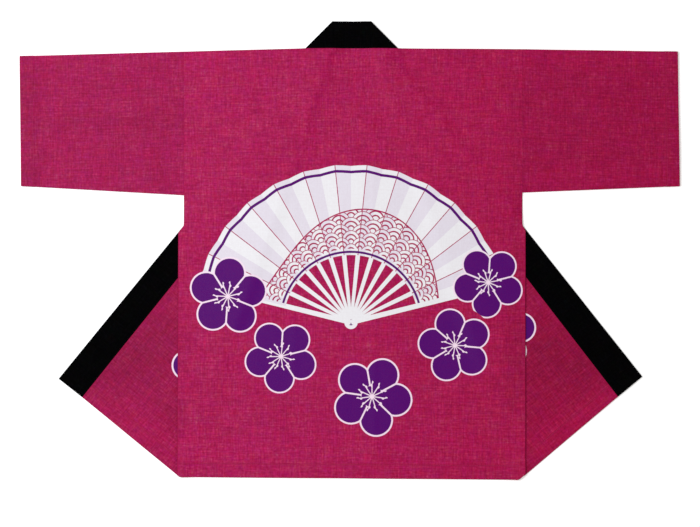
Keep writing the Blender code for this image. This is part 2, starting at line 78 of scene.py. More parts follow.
@dataclass(frozen=True)
class Walls:
    """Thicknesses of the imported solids, whose layers the cloth follows, and of the cloth itself, in metres.

    The seam gaps are the air that the solids and the cloths keep between two sewn edges.
    """

    solid_cloth: float = 0.0010
    solid_hem: float = 0.0016
    solid_band: float = 0.0022
    layer_gap: float = 0.0005
    solid_seam_gap: float = 0.0003
    cloth: float = 0.0007
    hem: float = 0.0013
    band: float = 0.0018
    seam_gap: float = 0.00002


@dataclass(frozen=True)
class Cut:
    """The coat's sewn sizes, in metres."""

    length: float = 0.8170
    neck_band: float = 0.0508
    hem_depth: float = 0.0280
    hem_step: float = 0.0020
    cuff_depth: float = 0.0250
    stitch_inset: float = 0.0014


@dataclass(frozen=True)
class Lie:
    """How the layers pass over each other: the widths of folds, slopes and curled edges, in metres."""

    fold_half: float = 0.0015
    fold_clear: float = 0.0025
    wide_ramp: float = 0.0400
    edge_ramp: float = 0.0260
    band_ramp: float = 0.0120
    curl_fade: float = 0.0120
    cuff_lift: float = 0.0010
    cuff_lift_reach: float = 0.1000


WALLS = Walls()
CUT = Cut()
LIE = Lie()
NECK_NORMAL = (math.sqrt(0.5), math.sqrt(0.5))


class Face(Enum):
    """The two faces of a flat cloth: towards the back's outside, or away from it."""

    UPPER = 1
    LOWER = -1


def smooth(value: Array) -> Array:
    """0 below 0 and 1 above 1, with the cubic 3v^2 - 2v^3 between."""
    value = np.clip(value, 0.0, 1.0)
    return value * value * (3.0 - 2.0 * value)


def plateau(inside: Array, ramp: float) -> Array:
    """1 where inside is positive, falling smoothly to 0 over the ramp's width outside."""
    return smooth(1.0 + inside / ramp)


def bell(distance: Array, half: float) -> Array:
    """A Gaussian bell of height 1 that has fallen to 1/e at half its width."""
    return np.exp(-((distance / half) ** 2))


# ---- the flat cut of one side


@dataclass(frozen=True)
class Side:
    """One side of the coat, as sewn and laid.

    Names ending in _out are distances from the centre line, and in _down from the shoulder line at the neck.
    """

    name: str
    sign: int
    neck_out: float
    armhole_out: float
    armhole_down: float
    underarm_down: float
    step_down: float
    step_end_down: float
    side_out: float
    hem_out: float
    hem_down: float
    corner_cut_out: float
    corner_cut_down: float
    cuff_out: float
    cuff_down: float
    cuff_low_out: float
    cuff_low_down: float
    fold_lean: float
    fold_rise: float
    flap_out: float
    flap_down: float
    flap_seam_out: float
    flap_seam_down: float
    flap_low_out: float
    flap_low_down: float

    @property
    def free_out(self) -> float:
        """The collar's free edge, where the front lies straight."""
        return self.neck_out - CUT.neck_band

    @property
    def across_fold(self) -> Array:
        """The direction across the fold line, towards the part that turns over."""
        lean = math.radians(self.fold_lean)
        return np.array([-math.cos(lean), -math.sin(lean)])

    @property
    def apex(self) -> Array:
        """Where the fold line leaves the collar's free edge."""
        return np.array([self.free_out, self.fold_rise])

    def past_fold(self, out: Array, up: Array) -> Array:
        """Distance past the fold line, positive on the part that turns over."""
        across = self.across_fold
        return (out - self.apex[0]) * across[0] + (up - self.apex[1]) * across[1]

    def turned_over(self, out: Array, up: Array) -> tuple[Array, Array]:
        """The mirror image in the fold line, which takes the cut to the flap and back again."""
        twice = 2.0 * self.past_fold(out, up)
        across = self.across_fold
        return out - twice * across[0], up - twice * across[1]

    def shoulder_up(self, out: Array) -> Array:
        """The shoulder line's height: level at the neck, then falling in a straight line to the armhole."""
        slope = self.armhole_down / (self.armhole_out - self.neck_out)
        return -slope * np.maximum(out - self.neck_out, 0.0)

    def side_edge(self, up: Array) -> Array:
        """How far out the side edge lies: straight at the armhole, with a small step out below it."""
        armhole = self.armhole_out - WALLS.seam_gap / 2.0
        downs = [self.underarm_down, self.step_down, self.step_end_down, self.hem_down]
        return np.interp(-up, downs, [armhole, armhole, self.side_out, self.hem_out])

    def from_side(self, distance: Array, up: Array) -> Array:
        """A distance from the side edge, or a long way along the armhole, where a sleeve is sewn on."""
        return np.where(up > -self.underarm_down, 1.0, distance)

    def back_hem_up(self, out: Array) -> Array:
        """The line of the back's hem, a straight line from the centre to the side."""
        return np.interp(out, [0.0, self.hem_out], [-CUT.length, -self.hem_down])

    def back_edge_up(self, out: Array) -> Array:
        """The back's bottom edge: the hem's line, but for the corner that is turned in at the side."""
        corner = float(self.back_hem_up(np.array(self.corner_cut_out)))
        outs = [0.0, self.corner_cut_out - WELD, self.hem_out]
        return np.interp(out, outs, [-CUT.length, corner, -self.corner_cut_down])

    def hem_ends(self) -> tuple[Array, Array, Array]:
        """Works out the front's hem as cut, by mirroring the laid flap's hem back.

        Returns:
            Where the hem meets the fold line, the collar's seam and the free edge.
        """
        laid_seam = np.array([self.flap_seam_out, -self.flap_seam_down])
        low = np.array([self.flap_low_out, -self.flap_low_down])
        at_seam, at_low = self.past_fold(*laid_seam), self.past_fold(*low)
        fold = laid_seam + (low - laid_seam) * at_seam / (at_seam - at_low)
        free = self.turned_over(self.flap_out, -self.flap_down)
        return fold, np.array(self.turned_over(*laid_seam)), np.array(free)

    def front_hem_up(self, out: Array) -> Array:
        """The front's bottom edge as cut, straight in parts, up to the back's turned corner at the side."""
        fold, seam, free = self.hem_ends()
        outs = [free[0], seam[0], fold[0], max(self.hem_out, fold[0] + WELD)]
        return np.interp(out, outs, [free[1], seam[1], fold[1], -self.corner_cut_down])

    def fold_crossing(self, out: Array, past: float | Array = 0.0) -> Array:
        """The height at which the line at a distance past the fold crosses a place so far out."""
        across = self.across_fold
        return self.apex[1] + (past - (out - self.apex[0]) * across[0]) / across[1]

    def seam_out(self, up: Array) -> Array:
        """The seam between front and collar as cut: straight down, with the band widening to the hem."""
        seam = self.hem_ends()[1]
        return np.interp(up, [seam[1], self.fold_crossing(self.neck_out)], [seam[0], self.neck_out])


LEFT = Side(
    name="left", sign=-1, neck_out=0.0871,
    armhole_out=0.3189, armhole_down=0.0063, underarm_down=0.2793,
    step_down=0.3363, step_end_down=0.3496, side_out=0.3294,
    hem_out=0.3316, hem_down=0.8143, corner_cut_out=0.3267, corner_cut_down=0.8102,
    cuff_out=0.6305, cuff_down=0.0150, cuff_low_out=0.6279, cuff_low_down=0.2618,
    fold_lean=19.62, fold_rise=0.0097,
    flap_out=0.5558, flap_down=0.6286, flap_seam_out=0.5121, flap_seam_down=0.6628,
    flap_low_out=0.3278, flap_low_down=0.8137,
)
RIGHT = Side(
    name="right", sign=1, neck_out=0.0867,
    armhole_out=0.3239, armhole_down=0.0017, underarm_down=0.2742,
    step_down=0.3363, step_end_down=0.3454, side_out=0.3297,
    hem_out=0.3299, hem_down=0.8197, corner_cut_out=0.3166, corner_cut_down=0.8085,
    cuff_out=0.6187, cuff_down=0.0063, cuff_low_out=0.6225, cuff_low_down=0.2620,
    fold_lean=19.18, fold_rise=0.0279,
    flap_out=0.5500, flap_down=0.6247, flap_seam_out=0.5055, flap_seam_down=0.6614,
    flap_low_out=0.3166, flap_low_down=0.8213,
)
SIDES = (LEFT, RIGHT)


# ---- the soft shape of the laid cloth


@dataclass(frozen=True)
class Stretch:
    """A straight stretch on the floor, from its start to its end, in metres."""

    start: tuple[float, float]
    end: tuple[float, float]

    @property
    def length(self) -> float:
        """The distance from start to end."""
        return math.dist(self.start, self.end)

    def reach(self, x: Array, y: Array) -> tuple[Array, Array]:
        """Measures places against the stretch's line.

        Args:
            x: Places on the floor, across the coat.
            y: Places on the floor, towards the neck.

        Returns:
            How far each lies along the line from the start, and how far aside of it.
        """
        along = (np.array(self.end) - self.start) / self.length
        x, y = x - self.start[0], y - self.start[1]
        return x * along[0] + y * along[1], y * along[0] - x * along[1]


@dataclass(frozen=True)
class Swell:
    """A long, low wave through all the layers. Lengths are in metres and angles in degrees."""

    heading: float
    wavelength: float
    phase: float
    height: float


@dataclass(frozen=True)
class Crease(Stretch):
    """A pressed crease through all the layers, as a low ridge that fades at both ends, in metres."""

    half: float
    height: float
    fade: float

    def rise(self, x: Array, y: Array) -> Array:
        """The ridge's height at places on the floor."""
        reach, aside = self.reach(x, y)
        ends = smooth(reach / self.fade) * smooth((self.length - reach) / self.fade)
        return self.height * ends * bell(aside, self.half)


@dataclass(frozen=True)
class LightShadeBand(Stretch):
    """A soft band of painted light by a fold, edge or seam; with a negative share it is painted shade."""

    half: float
    share: float

    def change(self, x: Array, y: Array) -> Array:
        """The share of light that the band adds at places on the floor, by how near the stretch they are."""
        reach, aside = self.reach(x, y)
        past = reach - np.clip(reach, 0.0, self.length)
        return self.share * bell(np.hypot(past, aside), self.half)


@dataclass(frozen=True)
class Relief:
    """The height that the whole coat gains at each place on the floor, never less than nothing."""

    swells: tuple[Swell, ...] = (
        Swell(heading=4.0, wavelength=0.235, phase=0.6, height=0.00080),
        Swell(heading=-11.0, wavelength=0.142, phase=2.1, height=0.00035),
        Swell(heading=83.0, wavelength=0.260, phase=1.3, height=0.00070),
        Swell(heading=57.0, wavelength=0.187, phase=4.0, height=0.00040),
        Swell(heading=124.0, wavelength=0.118, phase=5.2, height=0.00022),
    )
    creases: tuple[Crease, ...] = (
        Crease((0.044, 0.372), (0.047, -0.415), half=0.0050, height=0.00055, fade=0.05),
        Crease((-0.104, 0.372), (-0.106, -0.425), half=0.0060, height=0.00038, fade=0.05),
        Crease((-0.322, 0.350), (-0.323, 0.112), half=0.0050, height=0.00030, fade=0.03),
        Crease((0.322, 0.360), (0.318, 0.120), half=0.0050, height=0.00040, fade=0.03),
        Crease((-0.560, 0.352), (-0.553, 0.130), half=0.0080, height=0.00030, fade=0.05),
        Crease((-0.600, 0.262), (-0.350, 0.236), half=0.0200, height=0.00110, fade=0.12),
        Crease((0.355, 0.262), (0.600, 0.240), half=0.0200, height=0.00110, fade=0.12),
        Crease((-0.300, -0.300), (-0.150, -0.330), half=0.0160, height=0.00090, fade=0.08),
        Crease((0.120, -0.286), (0.300, -0.262), half=0.0160, height=0.00090, fade=0.08),
        Crease((-0.250, 0.240), (-0.120, 0.130), half=0.0160, height=0.00090, fade=0.08),
        Crease((0.170, 0.230), (0.270, 0.120), half=0.0160, height=0.00090, fade=0.08),
    )

    def height(self, x: Array, y: Array) -> Array:
        """The sum of the swells, each a raised sine along its heading, and of the creases.

        Args:
            x: Places on the floor, across the coat.
            y: Places on the floor, towards the neck.

        Returns:
            The added height at each place, in metres.
        """
        total = np.zeros(np.shape(x))
        for swell in self.swells:
            heading = math.radians(swell.heading)
            way = x * math.cos(heading) + y * math.sin(heading)
            wave = np.sin(2.0 * math.pi * way / swell.wavelength + swell.phase)
            total += swell.height * (1.0 + wave) / 2.0
        return total + sum(crease.rise(x, y) for crease in self.creases)


# Painted light and shade: soft bands that make the cloth lighter or darker where light and shade fall over the
# laid coat.
LIGHT_SHADE_BANDS = (
    LightShadeBand((-0.608, 0.323), (-0.606, 0.133), half=0.024, share=-0.11),
    LightShadeBand((-0.550, 0.251), (-0.285, 0.238), half=0.022, share=-0.06),
    LightShadeBand((-0.588, 0.376), (-0.190, 0.380), half=0.025, share=0.05),
    LightShadeBand((0.342, 0.369), (0.599, 0.365), half=0.026, share=0.09),
    LightShadeBand((0.371, 0.133), (0.590, 0.141), half=0.024, share=0.08),
    LightShadeBand((0.314, 0.327), (0.320, -0.030), half=0.016, share=-0.08),
    LightShadeBand((0.318, -0.050), (0.308, -0.280), half=0.020, share=-0.10),
    LightShadeBand((-0.322, -0.285), (-0.320, -0.420), half=0.013, share=-0.12),
    LightShadeBand((-0.475, -0.240), (-0.375, -0.175), half=0.060, share=-0.15),
    LightShadeBand((-0.474, -0.285), (-0.342, -0.380), half=0.040, share=0.14),
    LightShadeBand((0.365, -0.195), (0.490, -0.235), half=0.055, share=-0.14),
    LightShadeBand((0.375, -0.370), (0.517, -0.262), half=0.040, share=0.22),
    LightShadeBand((-0.304, -0.380), (0.304, -0.384), half=0.050, share=0.05),
)


def light_and_shade(x: Array, y: Array) -> Array:
    """The painted light and shade at each place on the floor: 1, and what each band changes."""
    return 1.0 + sum(tone.change(x, y) for tone in LIGHT_SHADE_BANDS)


@dataclass(frozen=True)
class Table:
    """Where the flat coordinates lie on the floor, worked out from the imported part's boxes."""

    centre_x: float
    shoulder_y: float
    relief: Relief = field(default_factory=Relief)

    @classmethod
    def from_frame(cls) -> "Table":
        """Reads the back's box: its left side gives the centre line, and its top edge the shoulder line."""
        low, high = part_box("back")
        return cls(centre_x=low[0] + LEFT.side_out, shoulder_y=high[1] + WALLS.solid_seam_gap / 2.0)

    def place(self, side: Side, places: Array) -> Array:
        """Takes out, up and height to the floor's x and y, and adds the relief's height.

        Args:
            side: The side of the coat that the places are on.
            places: An array whose last axis holds out, up and height.

        Returns:
            The same array with x, y and z in its last axis.
        """
        x = self.centre_x + side.sign * places[..., 0]
        y = self.shoulder_y + places[..., 1]
        return np.stack([x, y, places[..., 2] + self.relief.height(x, y)], axis=-1)


# ---- how high each layer lies


def hemmed(above: Array, depth: float, wall: float, hem: float) -> Array:
    """A thickness that steps from the hem's to the wall's, given distances above the hem's edge."""
    band = np.clip((depth + CUT.hem_step - above) / CUT.hem_step, 0.0, 1.0)
    return wall + (hem - wall) * band


@dataclass(frozen=True)
class Layers:
    """The heights of one side's layers, as functions of a place in the flat coordinates."""

    side: Side

    def front_solid(self, out: Array, up: Array) -> Array:
        """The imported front's thickness at a place in its cut."""
        return hemmed(up - self.side.front_hem_up(out), CUT.hem_depth, WALLS.solid_cloth, WALLS.solid_hem)

    def back_solid(self, out: Array, up: Array) -> Array:
        """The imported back's thickness."""
        return hemmed(up - self.side.back_hem_up(out), CUT.hem_depth, WALLS.solid_cloth, WALLS.solid_hem)

    def seam_rise(self, out: Array, up: Array) -> Array:
        """How much the front rises towards the collar's seam, where its middle meets the band's."""
        rise = (WALLS.solid_band - WALLS.solid_cloth) / 2.0
        return rise * plateau(self.side.seam_out(up) - out, LIE.band_ramp)

    def under_front(self, out: Array, up: Array) -> Array:
        """The height on which the straight part of a front lies: the surface, or the flap and its collar.

        Args:
            out: Places outwards in the flat coordinates.
            up: Places upwards in them.

        Returns:
            The height at each place, with slopes of smooth steps at the flap's edges.
        """
        side = self.side
        cut_out, cut_up = side.turned_over(out, up)
        on_fold = LIE.fold_clear - side.past_fold(out, up)
        flap = np.minimum(on_fold, cut_out - side.free_out)
        band = np.minimum(flap, side.seam_out(cut_up) - cut_out)
        wall = self.front_solid(cut_out, cut_up)
        layer = (wall + WALLS.layer_gap) * plateau(flap, LIE.edge_ramp)
        return layer + (WALLS.solid_band - WALLS.solid_cloth) * plateau(band, LIE.band_ramp)

    def under_back(self, out: Array, up: Array) -> Array:
        """The height on which the back and the neck's band lie: the surface, or all that is under them.

        Args:
            out: Places outwards in the flat coordinates.
            up: Places upwards in them.

        Returns:
            The height at each place.
        """
        side = self.side
        front = np.minimum(LIE.fold_clear - side.past_fold(out, up), out - side.free_out + LIE.fold_clear)
        band = np.minimum(front, side.neck_out - out)
        layer = (self.front_solid(out, up) + WALLS.layer_gap) * plateau(front, LIE.wide_ramp)
        layer = layer + (WALLS.solid_band - WALLS.solid_cloth) * plateau(band, LIE.band_ramp)
        return self.under_front(out, up) + layer

    def curl_at_side(self, up: Array) -> Array:
        """How far the side edges curl to meet: fully, but for the armhole and the hem's corner."""
        below_arm = (-up - self.side.underarm_down) / LIE.curl_fade
        above_hem = (up + self.side.hem_down) / LIE.curl_fade - 1.0
        return smooth(np.minimum(below_arm, above_hem))

    def curl_at_shoulder(self, out: Array) -> Array:
        """How far the shoulder edges curl to meet: not at all along the neck."""
        return smooth((out - self.side.neck_out) / LIE.curl_fade)

    def edged(self, out: Array, up: Array, wall: Array, offset: Array, face: Face) -> Array:
        """Lays points of the back (upper) or of a front's straight part (lower), with their edges curled.

        Args:
            out: Places outwards in the cut.
            up: Places upwards in the cut.
            wall: The cloth's thickness.
            offset: Places in the wall, up being positive.
            face: Which of the two panels this is.

        Returns:
            Out, up and height in the last axis.
        """
        low = self.under_front(out, up) + self.front_solid(out, up) / 2.0 + self.seam_rise(out, up)
        high = self.under_back(out, up) + self.back_solid(out, up) / 2.0
        side_line, top_line = self.side.side_edge(up), self.side.shoulder_up(out)
        from_side, z_side = curled(side_line - out, wall, offset, low, high, face, self.curl_at_side(up))
        from_top, z_top = curled(top_line - up, wall, offset, low, high, face, self.curl_at_shoulder(out))
        z_flat = (high if face is Face.UPPER else low) + offset
        return np.stack([side_line - from_side, top_line - from_top, z_side + z_top - z_flat], axis=-1)


def curled(
    edge: Array, wall: Array, offset: Array, low: Array, high: Array, face: Face, amount: Array
) -> tuple[Array, Array]:
    """Turns a panel's edge through a quarter circle, so that two panels meet halfway between them.

    The circle's radius is half the height between the panels' middles, and a point's arm is the radius with
    its offset added or taken away. The panel starts to turn one radius and half a wall from its edge.

    Args:
        edge: Distances from the edge.
        wall: The cloth's thickness.
        offset: Places in the wall, up being positive.
        low: Heights of the lower panel's middle.
        high: Heights of the upper panel's middle.
        face: Which of the two panels this is.
        amount: How far it curls, from 0 to 1.

    Returns:
        The new distances from the edge and the new heights.
    """
    radius, middle = np.maximum(high - low, 0.0) / 2.0, (high + low) / 2.0
    reach = radius + wall / 2.0
    turn = np.clip(1.0 - edge / reach, 0.0, 1.0) * math.pi / 2.0
    way = float(face.value)
    arm = radius + way * offset
    amount = np.where(edge < reach, amount, 0.0)
    end_gap = way * WALLS.seam_gap / 2.0 * turn / (math.pi / 2.0)
    edge_curled = reach - arm * np.sin(turn)
    height_curled = middle + way * arm * np.cos(turn) + end_gap
    height_flat = (high if face is Face.UPPER else low) + offset
    return edge + amount * (edge_curled - edge), height_flat + amount * (height_curled - height_flat)


def over_fold(
    out: Array, up: Array, offset: Array, low: Array, high: Array,
    point: Sequence[float], normal: Sequence[float],
) -> Array:
    """The place of a point on a half-round fold, whose line goes through point and whose normal is given.

    The fold is a half circle from the upper layer's middle to the lower one's: the point's distance past the
    line becomes an angle, and its arm is the circle's radius with the offset added.

    Args:
        out: Places in the flat coordinates, outwards.
        up: Places in the flat coordinates, upwards.
        offset: Places in the wall, up being positive before the fold.
        low: Heights of the lower layer's middle.
        high: Heights of the upper layer's middle.
        point: A point of the fold's line.
        normal: The line's normal, towards the part that turns over.

    Returns:
        Out, up and height in the last axis.
    """
    past = (out - point[0]) * normal[0] + (up - point[1]) * normal[1]
    turn = np.clip(past / LIE.fold_half, -1.0, 1.0) * math.pi / 2.0
    radius, middle = (high - low) / 2.0, (high + low) / 2.0
    reach = (radius + offset) * np.cos(turn) - LIE.fold_half
    foot_out, foot_up = out - past * normal[0], up - past * normal[1]
    height = middle - (radius + offset) * np.sin(turn)
    return np.stack([foot_out + reach * normal[0], foot_up + reach * normal[1], height], axis=-1)


def choose(past: Array, before: Array, fold: Array, after: Array) -> Array:
    """The place before a fold, on it or after it, by how far past its line a point is."""
    past = past[..., None]
    return np.where(past <= -LIE.fold_half, before, np.where(past >= LIE.fold_half, after, fold))


# ---- grids and shells


EDGE_STEPS = np.array([0.0, 0.08, 0.30, 0.65, 1.10, 2.00, 3.20]) * MM
STITCH_STEPS = np.array([-2.2, -1.1, -0.5, 0.0, 0.5, 1.4, 2.0, 2.7, 3.4, 5.0]) * MM
FOLD_STEPS = np.array([0.0, 0.4, 0.8, 1.2, 1.65, 3.0]) * MM
HEM_LINES = 4
PINCH_DEPTH = 0.35
PINCH_HALF = 0.8 * MM


def hem_steps(depth: float) -> Array:
    """Distances from a hemmed edge at which the cloth has lines: by the edge, the hem and its stitches."""
    stitched = depth - CUT.stitch_inset + STITCH_STEPS
    inside = np.linspace(EDGE_STEPS[-1], stitched[0], HEM_LINES + 2)[1:-1]
    return np.concatenate([EDGE_STEPS, inside, stitched])


@dataclass(frozen=True)
class Span:
    """Where lines lie across a cloth: at set distances from its two edges, and evenly between.

    A cloth narrower than the set distances, and some room between them, has them squeezed together.
    """

    cell: float
    first: Array = field(default_factory=lambda: EDGE_STEPS)
    last: Array = field(default_factory=lambda: EDGE_STEPS)
    room: float = 1.2

    def spread(self, length: Array, widest: float) -> Array:
        """Distances from the first edge.

        Args:
            length: The cloth's widths, an array of any shape.
            widest: The width that the number of even cells is worked out for.

        Returns:
            The distances, in a new last axis.
        """
        taken = self.first[-1] + self.last[-1]
        cells = max(2, round((widest - taken) / self.cell))
        length = np.asarray(length, dtype=float)[..., None]
        squeeze = np.minimum(1.0, length / max(self.room * taken, WELD))
        low, high = squeeze * self.first, length - squeeze * self.last[::-1]
        share = np.arange(1, cells) / cells
        middle = low[..., -1:] + share * (high[..., :1] - low[..., -1:])
        return np.concatenate([low, middle, high], axis=-1)


def between(start: Array, end: Array, distance: Array) -> Array:
    """Points on straight lines from start to end, at distances from start that may reach to end.

    Args:
        start: A point for each line, as rows of two.
        end: The other end of each line.
        distance: A row of distances for each line.

    Returns:
        A row of points for each line.
    """
    length = np.hypot(*(end - start).T)[:, None]
    share = np.divide(distance, length, out=np.zeros_like(distance), where=length > WELD)
    return start[:, None] + share[..., None] * (end - start)[:, None]


def rounding(distances: Sequence[Array], wall: Array) -> Array:
    """How full a cloth's wall is near its edges: a half circle's profile, empty at the edge itself.

    Args:
        distances: For each edge, how far each point is from it.
        wall: The thickness at each point.

    Returns:
        The share of the wall, from 0 to 1.
    """
    full = np.ones(np.shape(wall))
    for distance in distances:
        missing = 1.0 - np.clip(2.0 * distance / wall, 0.0, 1.0)
        full = full * np.sqrt(1.0 - missing * missing)
    return full


def sewn_wall(above: Array, depth: float, pinch: float = PINCH_DEPTH) -> Array:
    """A hemmed cloth's thickness above its edge: nearly double in the hem, and pinched at the stitches."""
    pinched = pinch * bell(above - (depth - CUT.stitch_inset), PINCH_HALF)
    return hemmed(above, depth, WALLS.cloth, WALLS.hem) * (1.0 - pinched)


@dataclass
class Shell:
    """A laid cloth: its two faces as grids of points, its flat cut, and the distance to the nearest edge."""

    outer: Array
    inner: Array
    flat: Array
    edge: Array

    def make(self, name: str, outside: Material, inside: Material) -> Piece:
        """Makes one closed mesh of both faces, which meet at the rim.

        Args:
            name: The new piece's name.
            outside: The material of the outer face.
            inside: The material of the inner face.

        Returns:
            The piece, with its flat cut as a UV map in metres, and as attributes its distance to the edge,
            which places a painted shade, and the bands' painted light and shade.
        """
        count = self.edge.size
        index = np.arange(count).reshape(self.edge.shape)
        quads = np.stack([index[:-1, :-1], index[1:, :-1], index[1:, 1:], index[:-1, 1:]], axis=-1)
        quads = quads.reshape(-1, 4)
        faces = np.concatenate([quads, quads[:, ::-1] + count])
        points = np.concatenate([self.outer.reshape(-1, 3), self.inner.reshape(-1, 3)])
        mesh = bpy.data.meshes.new(name)
        mesh.from_pydata(points, [], faces.tolist())
        mesh.materials.append(outside)
        mesh.materials.append(inside)
        mesh.polygons.foreach_set("material_index", np.repeat([0, 1], len(quads)).astype(np.int32))
        corner = faces.reshape(-1) % count
        mesh.uv_layers.new(name="cut").data.foreach_set("uv", self.flat.reshape(-1, 2)[corner].reshape(-1))
        # The bands' painted light and shade at each outer point.
        tone = light_and_shade(self.outer[..., 0], self.outer[..., 1])
        for label, values in (("edge", self.edge), ("tone", tone)):
            attribute = mesh.attributes.new(label, "FLOAT", "POINT")
            attribute.data.foreach_set("value", np.tile(values.reshape(-1), 2))
        close_up(mesh)
        return add_piece(name, mesh)


def close_up(mesh: bpy.types.Mesh) -> None:
    """Merges a mesh's doubles, turns its faces outwards and shades it smooth.

    Args:
        mesh: The mesh that is changed.
    """
    bm = bmesh.new()
    bm.from_mesh(mesh)
    bmesh.ops.remove_doubles(bm, verts=bm.verts, dist=WELD)
    bmesh.ops.dissolve_degenerate(bm, edges=bm.edges, dist=WELD / 10.0)
    bmesh.ops.recalc_face_normals(bm, faces=bm.faces)
    if bm.calc_volume(signed=True) < 0.0:
        bmesh.ops.reverse_faces(bm, faces=bm.faces)
    bm.to_mesh(mesh)
    bm.free()
    mesh.shade_smooth()


def add_piece(name: str, mesh: bpy.types.Mesh) -> Piece:
    """Links a mesh to the scene as a piece that rides with the coat's one body.

    Args:
        name: The piece's name.
        mesh: Its mesh.

    Returns:
        The piece.
    """
    piece = bpy.data.objects.new(name, mesh)
    bpy.context.scene.collection.objects.link(piece)
    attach(piece, ROOT)
    log.info("%s: %d faces", name, len(mesh.polygons))
    return piece


# ---- wiring of materials


class Wiring:
    """Adds nodes to a tree and joins them, one call for each node."""

    def __init__(self, tree: Tree) -> None:
        """Keeps the tree that the calls add to."""
        self.tree = tree

    def put(self, socket: Socket, value: object) -> None:
        """Joins a socket to another, or sets its own value.

        Args:
            socket: The input that is fed.
            value: A socket to join it to, or its value.
        """
        if isinstance(value, Socket):
            self.tree.links.new(value, socket)
        else:
            socket.default_value = value

    def fill(self, node: Node, inputs: dict[str | int, object]) -> None:
        """Joins or sets a node's inputs by name or number."""
        for name, value in inputs.items():
            self.put(node.inputs[name], value)

    def node(
        self, kind: str, inputs: dict[str | int, object] | None = None, **settings: object
    ) -> Node:
        """Adds a node.

        Args:
            kind: The node's type.
            inputs: What its inputs are fed with, by name or number.
            settings: Its settings.

        Returns:
            The new node.
        """
        made = self.tree.nodes.new(kind)
        for name, value in settings.items():
            setattr(made, name, value)
        self.fill(made, inputs or {})
        return made

    def math(self, operation: str, *values: object) -> Socket:
        """The result of a Math node."""
        return self.node("ShaderNodeMath", dict(enumerate(values)), operation=operation).outputs[0]

    def chain(self, operation: str, values: Sequence[object]) -> Socket:
        """Carries one operation through two or more values.

        Args:
            operation: The Math node's operation.
            values: What it works on, in order.

        Returns:
            The result.
        """
        total = values[0]
        for value in values[1:]:
            total = self.math(operation, total, value)
        return total

    def sum(self, *values: object) -> Socket:
        """The sum of two or more values."""
        return self.chain("ADD", values)

    def times(self, *values: object) -> Socket:
        """The product of two or more values."""
        return self.chain("MULTIPLY", values)

    def most(self, *values: object) -> Socket:
        """The greatest of two or more values."""
        return self.chain("MAXIMUM", values)

    def least(self, *values: object) -> Socket:
        """The least of two or more values."""
        return self.chain("MINIMUM", values)

    def minus(self, value: object, taken: object) -> Socket:
        """The difference of two values."""
        return self.math("SUBTRACT", value, taken)

    def unsigned(self, value: object) -> Socket:
        """A value without its sign."""
        return self.math("ABSOLUTE", value)

    def sine(self, angle: object) -> Socket:
        """An angle's sine."""
        return self.math("SINE", angle)

    def cosine(self, angle: object) -> Socket:
        """An angle's cosine."""
        return self.math("COSINE", angle)

    def wrapped(self, value: object, low: float, high: float) -> Socket:
        """A value brought into a range that repeats."""
        return self.math("WRAP", value, high, low)

    def vector(self, operation: str, *values: object) -> Socket:
        """The vector that a Vector Math node gives."""
        made = self.node("ShaderNodeVectorMath", dict(enumerate(values)), operation=operation)
        return made.outputs["Vector"]

    def length(self, vector: Socket) -> Socket:
        """A vector's length."""
        return self.node("ShaderNodeVectorMath", {0: vector}, operation="LENGTH").outputs["Value"]

    def scaled(self, vector: Socket, scale: object) -> Socket:
        """A vector times a number."""
        made = self.node("ShaderNodeVectorMath", {0: vector, "Scale": scale}, operation="SCALE")
        return made.outputs["Vector"]

    def parts(self, vector: Socket) -> tuple[Socket, Socket, Socket]:
        """A vector's x, y and z."""
        made = self.node("ShaderNodeSeparateXYZ", {0: vector})
        return made.outputs[0], made.outputs[1], made.outputs[2]

    def joined(self, x: object, y: object, z: object = 0.0) -> Socket:
        """A vector of three numbers."""
        return self.node("ShaderNodeCombineXYZ", {0: x, 1: y, 2: z}).outputs[0]

    def step(self, value: object, start: float, end: float) -> Socket:
        """A soft step from 0 at start to 1 at end."""
        inputs = {"Value": value, "From Min": start, "From Max": end}
        return self.node("ShaderNodeMapRange", inputs, interpolation_type="SMOOTHSTEP").outputs[0]

    def ranged(self, value: object, start: float, end: float, low: float, high: float) -> Socket:
        """A value carried from one range to another, clamped at its ends."""
        inputs = {"Value": value, "From Min": start, "From Max": end, "To Min": low, "To Max": high}
        return self.node("ShaderNodeMapRange", inputs).outputs[0]

    def mix(self, share: object, first: object, second: object) -> Socket:
        """Mixes two colours.

        Args:
            share: The second colour's share, from 0 to 1.
            first: A colour.
            second: Another.

        Returns:
            The mixed colour.
        """
        made = self.node("ShaderNodeMix", data_type="RGBA")
        self.put(made.inputs["Factor"], share)
        for name, value in (("A", first), ("B", second)):
            self.put([s for s in made.inputs if s.name == name and s.type == "RGBA"][0], value)
        return [s for s in made.outputs if s.type == "RGBA"][0]

    def noise(
        self, vector: Socket, scale: float = 1.0, detail: float = 2.0, roughness: float = 0.5
    ) -> Outputs:
        """A Noise Texture's outputs, which are 0.5 on average."""
        inputs = {"Vector": vector, "Scale": scale, "Detail": detail, "Roughness": roughness}
        return self.node("ShaderNodeTexNoise", inputs).outputs

    def stray(self, vector: Socket, *settings: float) -> Socket:
        """A noise that is 0 on average and seldom passes 1 or -1, given what noise() takes."""
        average, widened = 0.5, 3.0
        return self.times(self.minus(self.noise(vector, *settings)[0], average), widened)

    def bump(self, height: Socket, strength: float, distance: float) -> Socket:
        """The normal that a Bump node gives."""
        inputs = {"Height": height, "Strength": strength, "Distance": distance}
        return self.node("ShaderNodeBump", inputs).outputs[0]

    def group(self, kind: type["Group"], **inputs: object) -> Outputs:
        """Places a node group and fills its inputs by name."""
        return self.node("ShaderNodeGroup", inputs, node_tree=kind.shared()).outputs


def new_material(name: str) -> tuple[Material, Wiring, Node]:
    """A new material, its wiring and its one shader."""
    made = bpy.data.materials.new(name)
    made.use_nodes = True
    return made, Wiring(made.node_tree), made.node_tree.nodes["Principled BSDF"]


